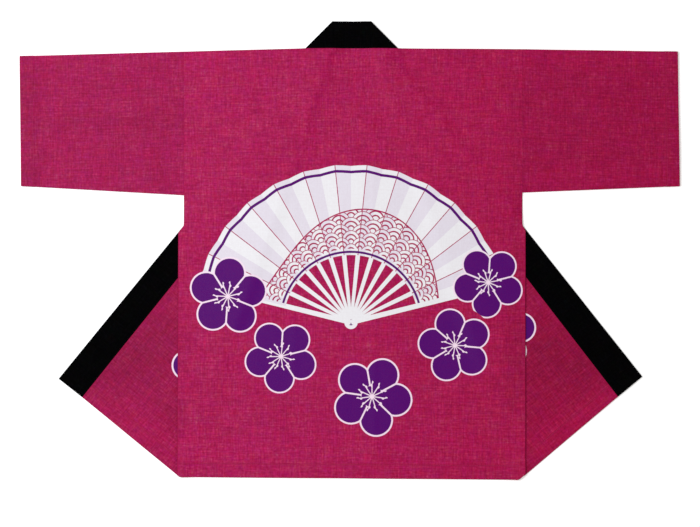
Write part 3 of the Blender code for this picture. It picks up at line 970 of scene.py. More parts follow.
class Group(Wiring):
    """A shader node group with named inputs and outputs, which is wired once and then shared."""

    name: str = ""
    inputs: dict[str, str] = {}
    outputs: dict[str, str] = {}

    @classmethod
    def shared(cls) -> Tree:
        """Gives the group's tree, which the first call builds.

        Returns:
            The tree.
        """
        found = bpy.data.node_groups.get(cls.name)
        if found:
            return found
        tree = bpy.data.node_groups.new(cls.name, "ShaderNodeTree")
        for name, kind in cls.inputs.items():
            tree.interface.new_socket(name, in_out="INPUT", socket_type=f"NodeSocket{kind}")
        for name, kind in cls.outputs.items():
            tree.interface.new_socket(name, in_out="OUTPUT", socket_type=f"NodeSocket{kind}")
        made = cls(tree)
        entry, end = made.node("NodeGroupInput"), made.node("NodeGroupOutput")
        made.fill(end, made.draw(dict(zip(cls.inputs, entry.outputs))))
        return tree

    def draw(self, given: dict[str, Socket]) -> dict[str, Socket]:
        """Adds the group's nodes.

        Args:
            given: The sockets of the group's inputs, by name.

        Returns:
            What the group's outputs are joined to, by name.
        """
        raise NotImplementedError


@dataclass(frozen=True)
class Streak:
    """One noise in a weave: how finely it varies along x and y, for each metre, and how much it counts."""

    along_x: float
    along_y: float
    weight: float
    detail: float = 1.0
    roughness: float = 0.5


class SlubWeave(Group):
    """Plain-woven cotton with uneven yarns. Its vector is the flat cut, in metres.

    The shades are long streaks along warp and weft, speckles where they cross, short streaks and cloudy
    patches. Each tint is three noises at once, one for each channel.
    """

    name = "slub weave"
    inputs = {"Vector": "Vector"}
    outputs = {"Shade": "Float", "Tint": "Vector", "Height": "Float"}
    shades = (
        Streak(360.0, 24.0, weight=1.80),
        Streak(20.0, 340.0, weight=1.80),
        Streak(275.0, 275.0, weight=2.00),
        Streak(310.0, 120.0, weight=1.40, detail=0.0),
        Streak(110.0, 330.0, weight=1.40, detail=0.0),
        Streak(26.0, 26.0, weight=1.20, detail=4.0, roughness=0.65),
    )
    tints = (
        Streak(60.0, 60.0, weight=7.0, detail=4.0, roughness=0.75),
        Streak(360.0, 24.0, weight=3.0, detail=0.0, roughness=0.75),
        Streak(20.0, 340.0, weight=3.0, detail=0.0, roughness=0.75),
    )
    tint_shift = (3.0, 7.0, 0.0)
    yarn = 0.45 * MM
    yarn_height = 0.5
    streak_height = 0.3

    def draw(self, given: dict[str, Socket]) -> dict[str, Socket]:
        """Adds the shades and the tints up by weight, and lets the two long streaks swell the yarns."""
        place = given["Vector"]
        shades, tints = [], []
        for streak in self.shades:
            stretched = self.vector("MULTIPLY", place, (streak.along_x, streak.along_y, 1.0))
            shades.append(self.stray(stretched, 1.0, streak.detail, streak.roughness))
        for streak in self.tints:
            stretched = self.vector("MULTIPLY", place, (streak.along_x, streak.along_y, 1.0))
            shifted = self.vector("ADD", stretched, self.tint_shift)
            noise = self.noise(shifted, 1.0, streak.detail, streak.roughness)["Color"]
            tints.append(self.scaled(self.vector("SUBTRACT", noise, (0.5,) * 3), streak.weight))
        x, y, _ = self.parts(place)
        yarns = self.times(*(self.sine(self.times(way, math.pi / self.yarn)) for way in (x, y)))
        weighed = (self.times(shade, streak.weight) for shade, streak in zip(shades, self.shades))
        swollen = (self.times(shade, self.streak_height) for shade in shades[:2])
        return {
            "Shade": self.sum(*weighed),
            "Tint": self.vector("ADD", self.vector("ADD", tints[0], tints[1]), tints[2]),
            "Height": self.sum(self.times(yarns, self.yarn_height), *swollen),
        }


class Blossom(Group):
    """A five-petalled plum blossom of radius 1 round the origin, whose lines are of a given width.

    Where two numbers give a shape's edge, the first is where it ends and the second where it is full.
    """

    name = "plum blossom"
    inputs = {"Vector": "Vector", "Line": "Float"}
    outputs = {"Petal": "Float", "Outline": "Float"}
    petals = 5
    petal_out = 0.580
    petal_radius = 0.410
    heart_radius = 0.30
    stamens = 11
    reaches = (0.27, 0.35)
    reach_change = 0.2
    stalk = (0.018, 0.010)
    stalk_end = (-0.01, 0.01)
    dot = (0.044, 0.032)
    middle = (0.060, 0.048)
    soft = 0.010

    def sector(self, radius: Socket, turn: Socket, count: int) -> tuple[Socket, Socket, Socket]:
        """The angle from the middle of a place's own one of equal sectors, and how far along and aside."""
        half = math.pi / count
        angle = self.wrapped(turn, -half, half)
        return angle, self.times(radius, self.cosine(angle)), self.times(radius, self.sine(angle))

    def drawn_stamens(self, radius: Socket, turn: Socket) -> Socket:
        """Draws stamens as fine lines, by turns short and long, that end in dots, and the flower's middle.

        Args:
            radius: A place's distance from the flower's middle.
            turn: Its angle.

        Returns:
            1 on the lines and dots.
        """
        _, out, aside = self.sector(radius, turn, self.stamens)
        off = self.unsigned(aside)
        parity = self.sine(self.times(turn, self.stamens / 2.0))
        reach = self.ranged(parity, -self.reach_change, self.reach_change, *self.reaches)
        stalk = self.times(self.step(off, *self.stalk), self.step(self.minus(reach, out), *self.stalk_end))
        dot = self.step(self.length(self.joined(self.minus(out, reach), off)), *self.dot)
        return self.most(stalk, dot, self.step(radius, *self.middle))

    def draw(self, given: dict[str, Socket]) -> dict[str, Socket]:
        """Round petals that touch, an outline round each, and the stamens."""
        x, y, _ = self.parts(given["Vector"])
        radius = self.length(self.joined(x, y))
        turn = self.math("ARCTAN2", y, x)
        line = given["Line"]
        angle, along, aside = self.sector(radius, turn, self.petals)
        from_petal = self.length(self.joined(self.minus(along, self.petal_out), aside))
        rim = self.minus(from_petal, self.petal_radius)
        heart = self.minus(radius, self.heart_radius)
        inside = self.least(rim, heart)
        to_next = self.minus(math.pi / self.petals, self.unsigned(angle))
        divide = self.most(self.times(radius, self.sine(to_next)), self.times(heart, -1.0))
        from_rim, from_next = self.times(inside, -1.0), self.minus(divide, self.times(line, 0.5))
        within = self.least(self.minus(from_rim, line), from_next)
        full = self.step(inside, self.soft / 2.0, -self.soft / 2.0)
        petal = self.step(within, -self.soft / 2.0, self.soft / 2.0)
        petal = self.times(petal, self.minus(1.0, self.drawn_stamens(radius, turn)))
        return {"Petal": petal, "Outline": self.minus(full, petal)}


class WaveScales(Group):
    """Overlapping wave scales of radius 1, in rows half a radius apart, each with two rings inside it."""

    name = "wave scales"
    inputs = {"Vector": "Vector"}
    outputs = {"Line": "Float"}
    rows_over = 4
    ring_gap = 0.33
    line_half = (0.0715, 0.0385)
    eye = (0.20, 0.26)

    def row(self, x: Socket, y: Socket, row: Socket) -> Socket:
        """Measures to the nearest scale's middle in a row, odd rows being half a scale aside.

        Args:
            x: A place along the rows.
            y: The place across them.
            row: The row's number.

        Returns:
            The distance.
        """
        shift = self.wrapped(row, 0.0, 2.0)
        aside = self.wrapped(self.sum(x, shift), -1.0, 1.0)
        above = self.minus(y, self.times(row, 0.5))
        return self.length(self.joined(aside, above))

    def draw(self, given: dict[str, Socket]) -> dict[str, Socket]:
        """The lowest of four rows whose scale covers the place shows there, with its rings."""
        x, y, _ = self.parts(given["Vector"])
        lowest = self.math("CEIL", self.times(self.minus(y, 1.0), 2.0))
        rows = [self.row(x, y, self.sum(lowest, float(k))) for k in range(self.rows_over)]
        shown = rows[-1]
        for distance in rows[-2::-1]:
            covers = self.math("LESS_THAN", distance, 1.0)
            shown = self.sum(shown, self.times(covers, self.minus(distance, shown)))
        to_ring = self.wrapped(self.minus(shown, 1.0), -self.ring_gap / 2.0, self.ring_gap / 2.0)
        line = self.step(self.unsigned(to_ring), *self.line_half)
        return {"Line": self.times(line, self.step(shown, *self.eye))}


class OpenFan(Group):
    """A wide-open folding fan that stands on its rivet at the origin. Its vector is in metres, up being +Y.

    Places on the leaf are distances from its inner edge, or from its rim for the rim's band.
    """

    name = "open fan"
    inputs = {"Vector": "Vector"}
    outputs = {"White": "Float", "Purple": "Float", "Pleat": "Float"}
    half_opening = math.radians(76.0)
    pleats = 26
    pleat = 2.0 * half_opening / pleats
    leaf_in = 0.128
    leaf_out = 0.300
    zigzag = 3.0 * MM
    fold_half = 0.75 * MM
    inner_band = (4.0 * MM, 8.0 * MM)
    rim_band = (9.0 * MM, 14.0 * MM)
    scale_radius = 25.0 * MM
    scales_in = 12.0 * MM
    crest = 66.0 * MM
    crest_swing = 24.0 * MM
    crest_turns = 2.6
    crest_phase = 0.9
    crest_half = (1.6 * MM, 0.9 * MM)
    stick_half = 2.6 * MM
    stick_spread = 1.6 * MM
    stick_end = 1.0 * MM
    guard_half = 5.0 * MM
    guard_reach = (1.5, 1.4)
    rivet_radius = 13.0 * MM
    pin_share = 0.45
    shade_soft = 0.1
    soft = 0.7 * MM

    def above(self, length: Socket) -> Socket:
        """1 where a length is positive, with a soft end."""
        return self.step(length, -self.soft / 2.0, self.soft / 2.0)

    def between(self, value: Socket, low: object, high: object) -> Socket:
        """1 where a length lies between two others, with soft ends."""
        over, under = self.minus(value, low), self.minus(high, value)
        return self.times(self.above(over), self.above(under))

    def near_fold(self, radius: Socket, start: Socket, half: object) -> Socket:
        """1 within a half width of every second pleat's fold, given the angle from one side of the fan."""
        aside = self.wrapped(start, -self.pleat, self.pleat)
        distance = self.unsigned(self.times(radius, self.sine(aside)))
        return self.above(self.minus(half, distance))

    def lines(self, radius: Socket, turn: Socket, start: Socket) -> Socket:
        """Draws the bare lines on the leaf: folds, a crest line that is a sine, and wave scales under it.

        Args:
            radius: A place's distance from the rivet.
            turn: Its angle from the fan's middle.
            start: Its angle from one side of the fan.

        Returns:
            1 on the lines.
        """
        folds = self.near_fold(radius, start, self.fold_half)
        wave = self.sine(self.sum(self.times(turn, self.crest_turns), self.crest_phase))
        crest = self.sum(self.times(wave, self.crest_swing), self.leaf_in + self.crest)
        under_crest = self.between(radius, self.leaf_in + self.scales_in, crest)
        around = self.times(turn, (self.leaf_in + self.leaf_out) / 2.0 / self.scale_radius)
        outward = self.times(radius, 1.0 / self.scale_radius)
        scales = self.group(WaveScales, Vector=self.joined(around, outward))["Line"]
        from_crest = self.unsigned(self.minus(radius, crest))
        return self.most(folds, self.times(scales, under_crest), self.step(from_crest, *self.crest_half))

    def sticks(self, radius: Socket, start: Socket, open_way: Socket) -> Socket:
        """The sticks, which widen from the rivet to the leaf's inner edge."""
        width = self.ranged(radius, 0.0, self.leaf_in, self.stick_half, self.stick_half + self.stick_spread)
        sticks = self.near_fold(radius, start, width)
        return self.times(sticks, self.step(radius, self.leaf_in + self.stick_end, self.leaf_in), open_way)

    def guards(self, radius: Socket, opening: Socket) -> Socket:
        """Draws the two outermost sticks, which run along the fan's sides up to its rim.

        Args:
            radius: A place's distance from the rivet.
            opening: Its angle inwards from the nearer side of the fan.

        Returns:
            1 on the guards.
        """
        aslant = self.unsigned(self.times(radius, self.sine(opening)))
        return self.times(
            self.step(aslant, self.guard_half, self.guard_half - self.soft),
            self.step(self.unsigned(opening), *self.guard_reach),
            self.step(radius, self.leaf_out, self.leaf_out - self.soft),
        )

    def draw(self, given: dict[str, Socket]) -> dict[str, Socket]:
        """A pleated leaf with its lines and bands, sticks that spread from the rivet, and two guards."""
        x, y, _ = self.parts(given["Vector"])
        radius = self.length(self.joined(x, y))
        turn = self.math("ARCTAN2", x, y)
        start = self.sum(turn, self.half_opening)
        saw = self.wrapped(start, -self.pleat, self.pleat)
        rim = self.sum(self.times(self.unsigned(saw), -self.zigzag / self.pleat), self.leaf_out)
        opening = self.minus(self.half_opening, self.unsigned(turn))
        open_way = self.above(self.times(opening, radius))
        leaf = self.times(self.between(radius, self.leaf_in, rim), open_way)
        bands = self.most(
            self.between(self.minus(rim, radius), *self.rim_band),
            self.between(self.minus(radius, self.leaf_in), *self.inner_band),
        )

        guards = self.guards(radius, opening)
        rivet, pin = (
            self.step(radius, edge, edge - self.soft)
            for edge in (self.rivet_radius, self.pin_share * self.rivet_radius)
        )
        frame_parts = self.most(self.sticks(radius, start, open_way), guards, rivet)
        leaf_white = self.times(leaf, self.minus(1.0, self.lines(radius, turn, start)))
        purple = self.times(self.most(self.times(bands, open_way, leaf), pin), self.minus(1.0, guards))
        white = self.times(self.most(leaf_white, frame_parts), self.minus(1.0, purple))
        shade = self.step(saw, -self.shade_soft * self.pleat, self.shade_soft * self.pleat)
        return {"White": white, "Purple": purple, "Pleat": self.times(shade, leaf)}


# ---- finishes


def srgb(red: int, green: int, blue: int) -> Colour:
    """The linear colour of a screen colour given from 0 to 255, by the sRGB curve's power part."""
    values = [((channel / 255.0 + 0.055) / 1.055) ** 2.4 for channel in (red, green, blue)]
    return values[0], values[1], values[2], 1.0


@dataclass(frozen=True)
class Bloom:
    """One printed blossom: its centre in the flat cut and its radius, in metres, and its turn in degrees."""

    across: float
    up: float
    radius: float
    turn: float


@dataclass(frozen=True)
class Print:
    """White and purple inks on the cloth: blossoms, and a fan where one is asked for.

    Ink bleeds along the yarns, to and fro with a noise of so many changes for each metre. Where the weave is
    dark by so many of its steps, a small share of the ink is worn off.
    """

    blooms: tuple[Bloom, ...]
    fan_at: tuple[float, float] | None = None
    outline: float = 3.4 * MM
    bleed: float = 0.35 * MM
    bleed_changes: float = 700.0
    bleed_shift: Vector3 = (5.0, 5.0, 5.0)
    worn_share: float = 0.05
    worn_steps: float = 2.4
    smoother: float = 0.12
    white: Colour = srgb(232, 231, 235)
    white_shade: Colour = srgb(222, 216, 227)
    purple: Colour = srgb(79, 0, 106)
    rim: Colour = srgb(241, 219, 235)

    def ink(self, wiring: Wiring, place: Socket, cloth: Socket, grain: Socket) -> tuple[Socket, Socket]:
        """Lays the inks over the cloth's colour.

        Args:
            wiring: The material's wiring.
            place: The flat cut, in metres.
            cloth: The bare cloth's colour.
            grain: The weave's shade, which shows faintly through the ink.

        Returns:
            The colour with ink, and the share of ink, from 0 to 1.
        """
        elsewhere = wiring.vector("ADD", place, self.bleed_shift)
        to_and_fro = [wiring.stray(where, self.bleed_changes) for where in (place, elsewhere)]
        place = wiring.vector("ADD", place, wiring.scaled(wiring.joined(*to_and_fro), self.bleed))
        colour, masks = cloth, []
        if self.fan_at:
            from_rivet = wiring.vector("SUBTRACT", place, (*self.fan_at, 0.0))
            fan = wiring.group(OpenFan, Vector=from_rivet)
            white = wiring.mix(fan["Pleat"], self.white, self.white_shade)
            colour = wiring.mix(fan["White"], colour, white)
            colour = wiring.mix(fan["Purple"], colour, self.purple)
            masks += [fan["White"], fan["Purple"]]
        spray = self.spray(wiring, place)
        colour = wiring.mix(spray["Outline"], colour, self.rim)
        colour = wiring.mix(spray["Petal"], colour, self.purple)
        inked = wiring.most(*masks, spray["Outline"], spray["Petal"])
        dark = wiring.ranged(grain, self.worn_steps, -self.worn_steps, 0.0, self.worn_share)
        return wiring.mix(wiring.times(inked, dark), colour, cloth), inked

    def spray(self, wiring: Wiring, place: Socket) -> Outputs:
        """Brings each blossom's place to the one drawing of a blossom: a sum, as no two of them overlap.

        Args:
            wiring: The material's wiring.
            place: The flat cut, in metres.

        Returns:
            The drawing's outputs.
        """
        margin, away = 1.04, (5.0, 0.0, 0.0)
        total = wiring.joined(*away)
        for bloom in self.blooms:
            inputs = {
                "Vector": place,
                "Location": (bloom.across, bloom.up, 0.0),
                "Rotation": (0.0, 0.0, math.radians(bloom.turn)),
                "Scale": (bloom.radius, bloom.radius, 1.0),
            }
            local = wiring.node("ShaderNodeMapping", inputs, vector_type="TEXTURE").outputs[0]
            here = wiring.math("LESS_THAN", wiring.length(local), margin)
            total = wiring.vector("ADD", total, wiring.scaled(wiring.vector("SUBTRACT", local, away), here))
        line = self.outline / max(bloom.radius for bloom in self.blooms)
        return wiring.group(Blossom, Vector=total, Line=line)


@dataclass(frozen=True)
class Cotton:
    """A dyed, plain-woven cotton.

    A channel's spread is what one step lighter multiplies it by. Between two places across the coat a painted
    fall-off of the light's gloss lowers each channel, so that its far value is what multiplies it at the right
    one. A painted shade along edges and beside stitches has its own colour, by the edge's share: fully up to
    one distance from it, and not at all past the edge's width.
    """

    name: str
    dye: Colour
    spread: Share
    edge: Colour
    roughness: float
    sheen: float
    sheen_tint: Colour
    specular: float
    far: Share = (1.0, 1.0, 1.0)
    falloff_across: tuple[float, float] = (-0.20, 0.50)
    edge_shade_share: float = 0.8
    edge_shade_width: float = 2.8 * MM
    edge_shade_full: float = 0.3 * MM
    weave_height: float = 0.16 * MM
    weave_strength: float = 0.5
    sheen_roughness: float = 0.45

    def material(
        self, name: str = "", depth: Share = (1.0, 1.0, 1.0), inks: Print | None = None
    ) -> Material:
        """Builds the material on the piece's own flat cut.

        Args:
            name: What is added to the material's name.
            depth: What multiplies the dye's red, green and blue on this piece.
            inks: What is printed on this face, if anything.

        Returns:
            The new material.
        """
        made, wiring, shader = new_material(self.name + name)
        place = wiring.node("ShaderNodeUVMap", uv_map="cut").outputs[0]
        weave = wiring.group(SlubWeave, Vector=place)
        colour = self.dyed(wiring, weave, depth)
        # Painted shade: a darker, more saturated colour along the cloth's edges and by its stitches.
        near_edge = wiring.node("ShaderNodeAttribute", attribute_name="edge").outputs["Fac"]
        edge = wiring.times(wiring.step(near_edge, self.edge_shade_width, self.edge_shade_full), self.edge_shade_share)
        colour = wiring.mix(edge, colour, self.edge)
        roughness: object = self.roughness
        if inks:
            colour, inked = inks.ink(wiring, place, colour, weave["Shade"])
            roughness = wiring.ranged(inked, 0.0, 1.0, self.roughness, self.roughness - inks.smoother)
        wiring.fill(shader, {
            "Base Color": colour,
            "Roughness": roughness,
            "Normal": wiring.bump(weave["Height"], self.weave_strength, self.weave_height),
            "Sheen Weight": self.sheen,
            "Sheen Roughness": self.sheen_roughness,
            "Sheen Tint": self.sheen_tint,
            "Specular IOR Level": self.specular,
        })
        return made

    def dyed(self, wiring: Wiring, weave: Outputs, depth: Share) -> Socket:
        """Raises each channel of the dye by the weave's shade and its own tint, as a power of its spread.

        Args:
            wiring: The material's wiring.
            weave: The weave's outputs.
            depth: What multiplies the dye's channels on this piece.

        Returns:
            The cloth's colour.
        """
        channels = []
        # Painted light and shade from the bands on the floor multiplies every channel.
        tone = wiring.node("ShaderNodeAttribute", attribute_name="tone").outputs["Fac"]
        place = wiring.node("ShaderNodeTexCoord").outputs["Object"]
        # Painted light: the channels fall from the left of the coat to the right, where far multiplies them,
        # as the light's gloss fades.
        across = wiring.step(wiring.parts(place)[0], *self.falloff_across)
        tints = wiring.parts(weave["Tint"])
        for tint, dye, spread, share, far in zip(tints, self.dye, self.spread, depth, self.far):
            level = wiring.ranged(across, 0.0, 1.0, dye * share, dye * share * far)
            steps = wiring.sum(weave["Shade"], tint)
            channels.append(wiring.times(wiring.math("POWER", spread, steps), level, tone))
        return wiring.node("ShaderNodeCombineColor", dict(enumerate(channels))).outputs[0]


@dataclass(frozen=True)
class Thread:
    """A twisted sewing thread, whose plies run aslant."""

    name: str
    colour: Colour
    shade: Colour
    roughness: float = 0.55
    specular: float = 0.5
    ply: float = 0.5 * MM
    ply_height: float = 0.05 * MM
    ply_strength: float = 0.4

    def material(self) -> Material:
        """Builds the material, with its plies on Object coordinates and a painted shade in the grooves between
        them.

        Returns:
            The new material.
        """
        made, wiring, shader = new_material(self.name)
        x, y, _ = wiring.parts(wiring.node("ShaderNodeTexCoord").outputs["Object"])
        plies = wiring.sine(wiring.times(wiring.sum(x, y), 2.0 * math.pi / self.ply))
        wiring.fill(shader, {
            # Painted shade: the shade colour lies where the plies' bump is lowest.
            "Base Color": wiring.mix(wiring.ranged(plies, -1.0, 1.0, 0.0, 1.0), self.shade, self.colour),
            "Roughness": self.roughness,
            "Normal": wiring.bump(plies, self.ply_strength, self.ply_height),
            "Specular IOR Level": self.specular,
        })
        return made


# Each cloth's edge colour is a painted shade, darker and more saturated, along its edges and by its stitches.
MAGENTA = Cotton(
    name="magenta cotton",
    # far is painted light: green and blue fall towards the right as the light's gloss fades.
    dye=srgb(163, 22, 79), spread=(1.066, 1.43, 1.125), far=(1.0, 0.69, 0.80), edge=srgb(150, 8, 62),
    roughness=0.50, sheen=0.02, sheen_tint=srgb(235, 150, 190), specular=0.065,
)
MAGENTA_WRONG_SIDE = Cotton(
    name="magenta cotton wrong side",
    dye=srgb(178, 52, 102), spread=(1.07, 1.25, 1.12), edge=srgb(165, 36, 84),
    roughness=0.9, sheen=0.03, sheen_tint=srgb(235, 160, 195), specular=0.06,
)
BLACK = Cotton(
    name="black cotton",
    dye=(0.0009, 0.0008, 0.0010, 1.0), spread=(1.25, 1.25, 1.25), edge=(0.0008, 0.0008, 0.0009, 1.0),
    roughness=0.95, sheen=0.0, sheen_tint=(1.0, 1.0, 1.0, 1.0), specular=0.02,
)
MAGENTA_THREAD = Thread("magenta thread", colour=srgb(186, 44, 96), shade=srgb(140, 20, 66))
BLACK_THREAD = Thread(
    "black thread", colour=(0.003, 0.003, 0.003, 1.0), shade=(0.001, 0.001, 0.001, 1.0),
    roughness=0.8, specular=0.1,
)


# ---- the pieces


def beside(seam: Array, least: float = 1.2 * MM) -> Array:
    """A distance from a line of stitches, made to count as one from an edge, so that a painted shade lies by
    the stitches, softer and wider.
    """
    wider = 3.0
    return np.abs(seam) / wider + least


def shell_over(
    lay: Callable[[Array], Array],
    flat: Array,
    wall: Array,
    distances: Sequence[Array],
    face: Face,
    seams: Sequence[Array] = (),
) -> Shell:
    """Lays both faces of a cloth, rounding its wall off at the rim.

    Args:
        lay: Gives the places of the grid's points for an array of offsets in the wall.
        flat: The flat cut, for the UV map.
        wall: The thickness at each point.
        distances: For each free edge, how far each point is from it.
        face: Which face of the flat cut is the outer one.
        seams: For each line of stitches, what beside() makes of the distance from it, for the painted shade.

    Returns:
        The shell.
    """
    full = rounding(distances, wall)
    full[[0, -1]] = 0.0
    full[:, [0, -1]] = 0.0
    half = face.value * wall / 2.0 * full
    # The nearest edge or stitch line, which places the painted shade.
    edge = np.clip(np.minimum.reduce([*distances, *seams]), 0.0, None)
    return Shell(outer=lay(half), inner=lay(-half), flat=flat, edge=edge)


@dataclass
class Panel:
    """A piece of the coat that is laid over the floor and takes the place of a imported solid."""

    table: Table

    def shell(self) -> Shell:
        """The laid cloth."""
        raise NotImplementedError

    def build(self, name: str, node: str, slot: str, outside: Material, inside: Material) -> Piece:
        """Makes the panel's piece.

        Args:
            name: The piece's name.
            node: The solid that it replaces.
            slot: Not used.
            outside: The material of the cloth's outer face.
            inside: The material of its inner face.

        Returns:
            The piece.
        """
        piece = self.shell().make(name, outside, inside)
        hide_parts(node)
        return piece


@dataclass
class Back(Panel):
    """The back panel: one piece from side to side, over the fronts and down to the floor between them."""

    cell: float = 4.5 * MM
    neck_tuck: float = 0.8 * MM
    tuck_ramp: float = 5.0 * MM
    seam_places: int = 400

    def lay(self, across: Array, up: Array, offset: Array) -> Array:
        """Lays points on the floor.

        Args:
            across: Signed distances across the coat.
            up: Heights in the cut.
            offset: Places in the wall, up being positive.

        Returns:
            The floor places, with x, y and z in the last axis.
        """
        halves = []
        for side in SIDES:
            place = Layers(side).edged(side.sign * across, up, WALLS.cloth, offset, Face.UPPER)
            halves.append(self.table.place(side, place))
        return np.where(across[..., None] < 0.0, halves[0], halves[1])

    def hem_line(self, across: Array) -> Array:
        """The straight hem's height at signed distances across."""
        return np.where(across < 0.0, LEFT.back_hem_up(-across), RIGHT.back_hem_up(across))

    def shell(self) -> Shell:
        """Lays the panel as a grid whose rows meet the two side edges at matching shares of their lengths.

        Returns:
            The laid cloth.
        """
        rows, columns = Span(self.cell, last=hem_steps(CUT.hem_depth)), Span(self.cell)
        gap = WALLS.seam_gap / 2.0
        tops = [side.armhole_down + gap for side in SIDES]
        downs = [top + rows.spread(side.corner_cut_down - top, CUT.length) for top, side in zip(tops, SIDES)]
        starts, ends = -LEFT.side_edge(-downs[0])[:, None], RIGHT.side_edge(-downs[1])[:, None]
        across = starts + columns.spread(ends[:, 0] - starts[:, 0], 2.0 * RIGHT.side_out)
        first, last = across[0], across[-1]
        top = np.where(first < 0.0, LEFT.shoulder_up(-first), RIGHT.shoulder_up(first)) - gap
        top += self.neck_tuck * smooth((RIGHT.neck_out - np.abs(first)) / self.tuck_ramp)
        bottom = np.where(last < 0.0, LEFT.back_edge_up(-last), RIGHT.back_edge_up(last))
        up = top - rows.spread(top - bottom, CUT.length).T
        above_hem = up - self.hem_line(across)
        wall = sewn_wall(above_hem, CUT.hem_depth)
        sides = LEFT.from_side(across - starts, up), RIGHT.from_side(ends - across, up)
        distances = (*sides, top - up, up - bottom)
        seam = beside(above_hem - CUT.hem_depth + CUT.stitch_inset)
        flat = np.stack([across, up], axis=-1)
        return shell_over(
            lambda offset: self.lay(across, up, offset), flat, wall, distances, Face.UPPER, [seam]
        )

    def hem_seam(self, inset: float) -> Array:
        """Follows the hem's stitches.

        Args:
            inset: How far from the hem's ends they stop.

        Returns:
            A row of places on the cloth, and a row just above them.
        """
        across = np.linspace(inset - LEFT.hem_out, RIGHT.hem_out - inset, self.seam_places)
        up = self.hem_line(across) + CUT.hem_depth - CUT.stitch_inset
        rise = WALLS.hem * (1.0 - PINCH_DEPTH) / 2.0
        return np.stack([self.lay(across, up, np.full(up.shape, rise + step)) for step in (0.0, MM)])


@dataclass
class Front(Panel):
    """A front panel, cut as one piece and folded out along a slanting line from its corner to the neck."""

    side: Side
    cell: float = 6.0 * MM
    chamfer: float = 2.5 * MM
    fold_margin: float = 0.6 * MM
    seam_places: int = 250
    seam_from_fold: float = 8.0 * MM

    def lay(self, out: Array, up: Array, offset: Array) -> Array:
        """Lays points on the floor, with the flap turned over its fold line.

        Args:
            out: Places outwards in the cut.
            up: Places upwards in the cut.
            offset: Places in the wall, up being positive before the fold.

        Returns:
            The floor places.
        """
        side, layers = self.side, Layers(self.side)
        past = side.past_fold(out, up)
        across = side.across_fold
        foot = out - past * across[0], up - past * across[1]
        straight = layers.edged(out, up, WALLS.cloth, offset, Face.LOWER)
        middle = layers.front_solid(out, up) / 2.0 + layers.seam_rise(out, up)
        flap = np.stack([*side.turned_over(out, up), middle - offset], axis=-1)
        fold = over_fold(out, up, offset, middle, layers.under_front(*foot) + middle, side.apex, across)
        return self.table.place(side, choose(past, straight, fold, flap))

    def anchors(self) -> tuple[Array, Array, Array]:
        """Works out the ends of the grid's rows and where they bend.

        Above the place where the fold line crosses the seam, the last two are the same. By the hem the fold
        line runs out over the side edge, and its points stay a margin inside the edge.

        Returns:
            Where each row meets the side edge, the fold line and the collar's seam.
        """
        side, gap = self.side, WALLS.seam_gap / 2.0
        seam_at_fold = side.neck_out + gap
        crossing = np.array([seam_at_fold, float(side.fold_crossing(seam_at_fold))])
        fold_end, seam_end, _ = side.hem_ends()
        at_once = np.zeros(1)
        upper = Span(self.cell, last=at_once)
        lower = Span(self.cell, first=at_once, last=hem_steps(CUT.hem_depth))
        widest = side.hem_down + crossing[1]

        def downs(top: float, bottom: float) -> Array:
            """Heights from the top through the crossing's to the bottom."""
            above = top - upper.spread(top - crossing[1], -crossing[1])
            below = crossing[1] - lower.spread(crossing[1] - bottom, widest)
            return np.concatenate([above, below[1:]])

        side_ups = downs(-side.armhole_down - gap, float(side.front_hem_up(side.hem_out)))
        seam_ups = downs(-gap, seam_end[1])
        share = np.clip((crossing[1] - seam_ups) / (crossing[1] - seam_end[1]), 0.0, 1.0)[:, None]
        above = seam_ups > crossing[1]
        shared = np.stack([np.full(seam_ups.shape, seam_at_fold), seam_ups], axis=-1)
        on_fold = np.where(above[:, None], shared, crossing + share * (fold_end - crossing))
        on_seam = np.where(above[:, None], shared, crossing + share * (seam_end + [gap, 0.0] - crossing))
        on_side = np.stack([side.side_edge(side_ups), side_ups], axis=-1)
        width = np.hypot(*(on_seam - on_side).T)[:, None]
        nearest = on_side + (on_seam - on_side) * self.fold_margin / width
        return on_side, np.where(on_fold[:, :1] > nearest[:, :1], nearest, on_fold), on_seam

    def shell(self) -> Shell:
        """Lays the panel as one grid, with a line of its points along the fold.

        Returns:
            The laid cloth.
        """
        side = self.side
        on_side, on_fold, on_seam = self.anchors()
        straight = Span(self.cell, last=FOLD_STEPS)
        turned = Span(self.cell, first=FOLD_STEPS)
        widths = np.hypot(*(on_fold - on_side).T), np.hypot(*(on_seam - on_fold).T)
        before = between(on_side, on_fold, straight.spread(widths[0], widths[0].max()))
        after = between(on_fold, on_seam, turned.spread(widths[1], widths[1].max()))
        out, up = np.moveaxis(np.concatenate([before, after[:, 1:]], axis=1), -1, 0)
        corner = out - side.neck_out - self.chamfer
        up = np.minimum(up, corner)
        above_hem = up - side.front_hem_up(out)
        seam = out - side.seam_out(up) - WALLS.seam_gap / 2.0
        top = side.shoulder_up(out) - WALLS.seam_gap / 2.0 - up
        at_side = side.from_side(side.side_edge(up) - out, up)
        distances = (at_side, seam, np.minimum(top, corner - up), above_hem)
        stitched = beside(above_hem - CUT.hem_depth + CUT.stitch_inset)
        wall = sewn_wall(above_hem, CUT.hem_depth)
        flat = np.stack([side.sign * out, up], axis=-1)
        return shell_over(
            lambda offset: self.lay(out, up, offset), flat, wall, distances, Face.LOWER, [stitched]
        )

    def hem_seam(self, inset: float) -> Array:
        """Follows the stitches of the flap's hem.

        Args:
            inset: How far from the collar's seam they stop.

        Returns:
            A row of places on the cloth, and a row just above them.
        """
        fold_end, seam_end, _ = self.side.hem_ends()
        out = np.linspace(seam_end[0] + inset, fold_end[0] - self.seam_from_fold, self.seam_places)
        up = self.side.front_hem_up(out) + CUT.hem_depth - CUT.stitch_inset
        rise = WALLS.hem * (1.0 - PINCH_DEPTH) / 2.0
        return np.stack([self.lay(out, up, np.full(up.shape, -rise - step)) for step in (0.0, MM)])


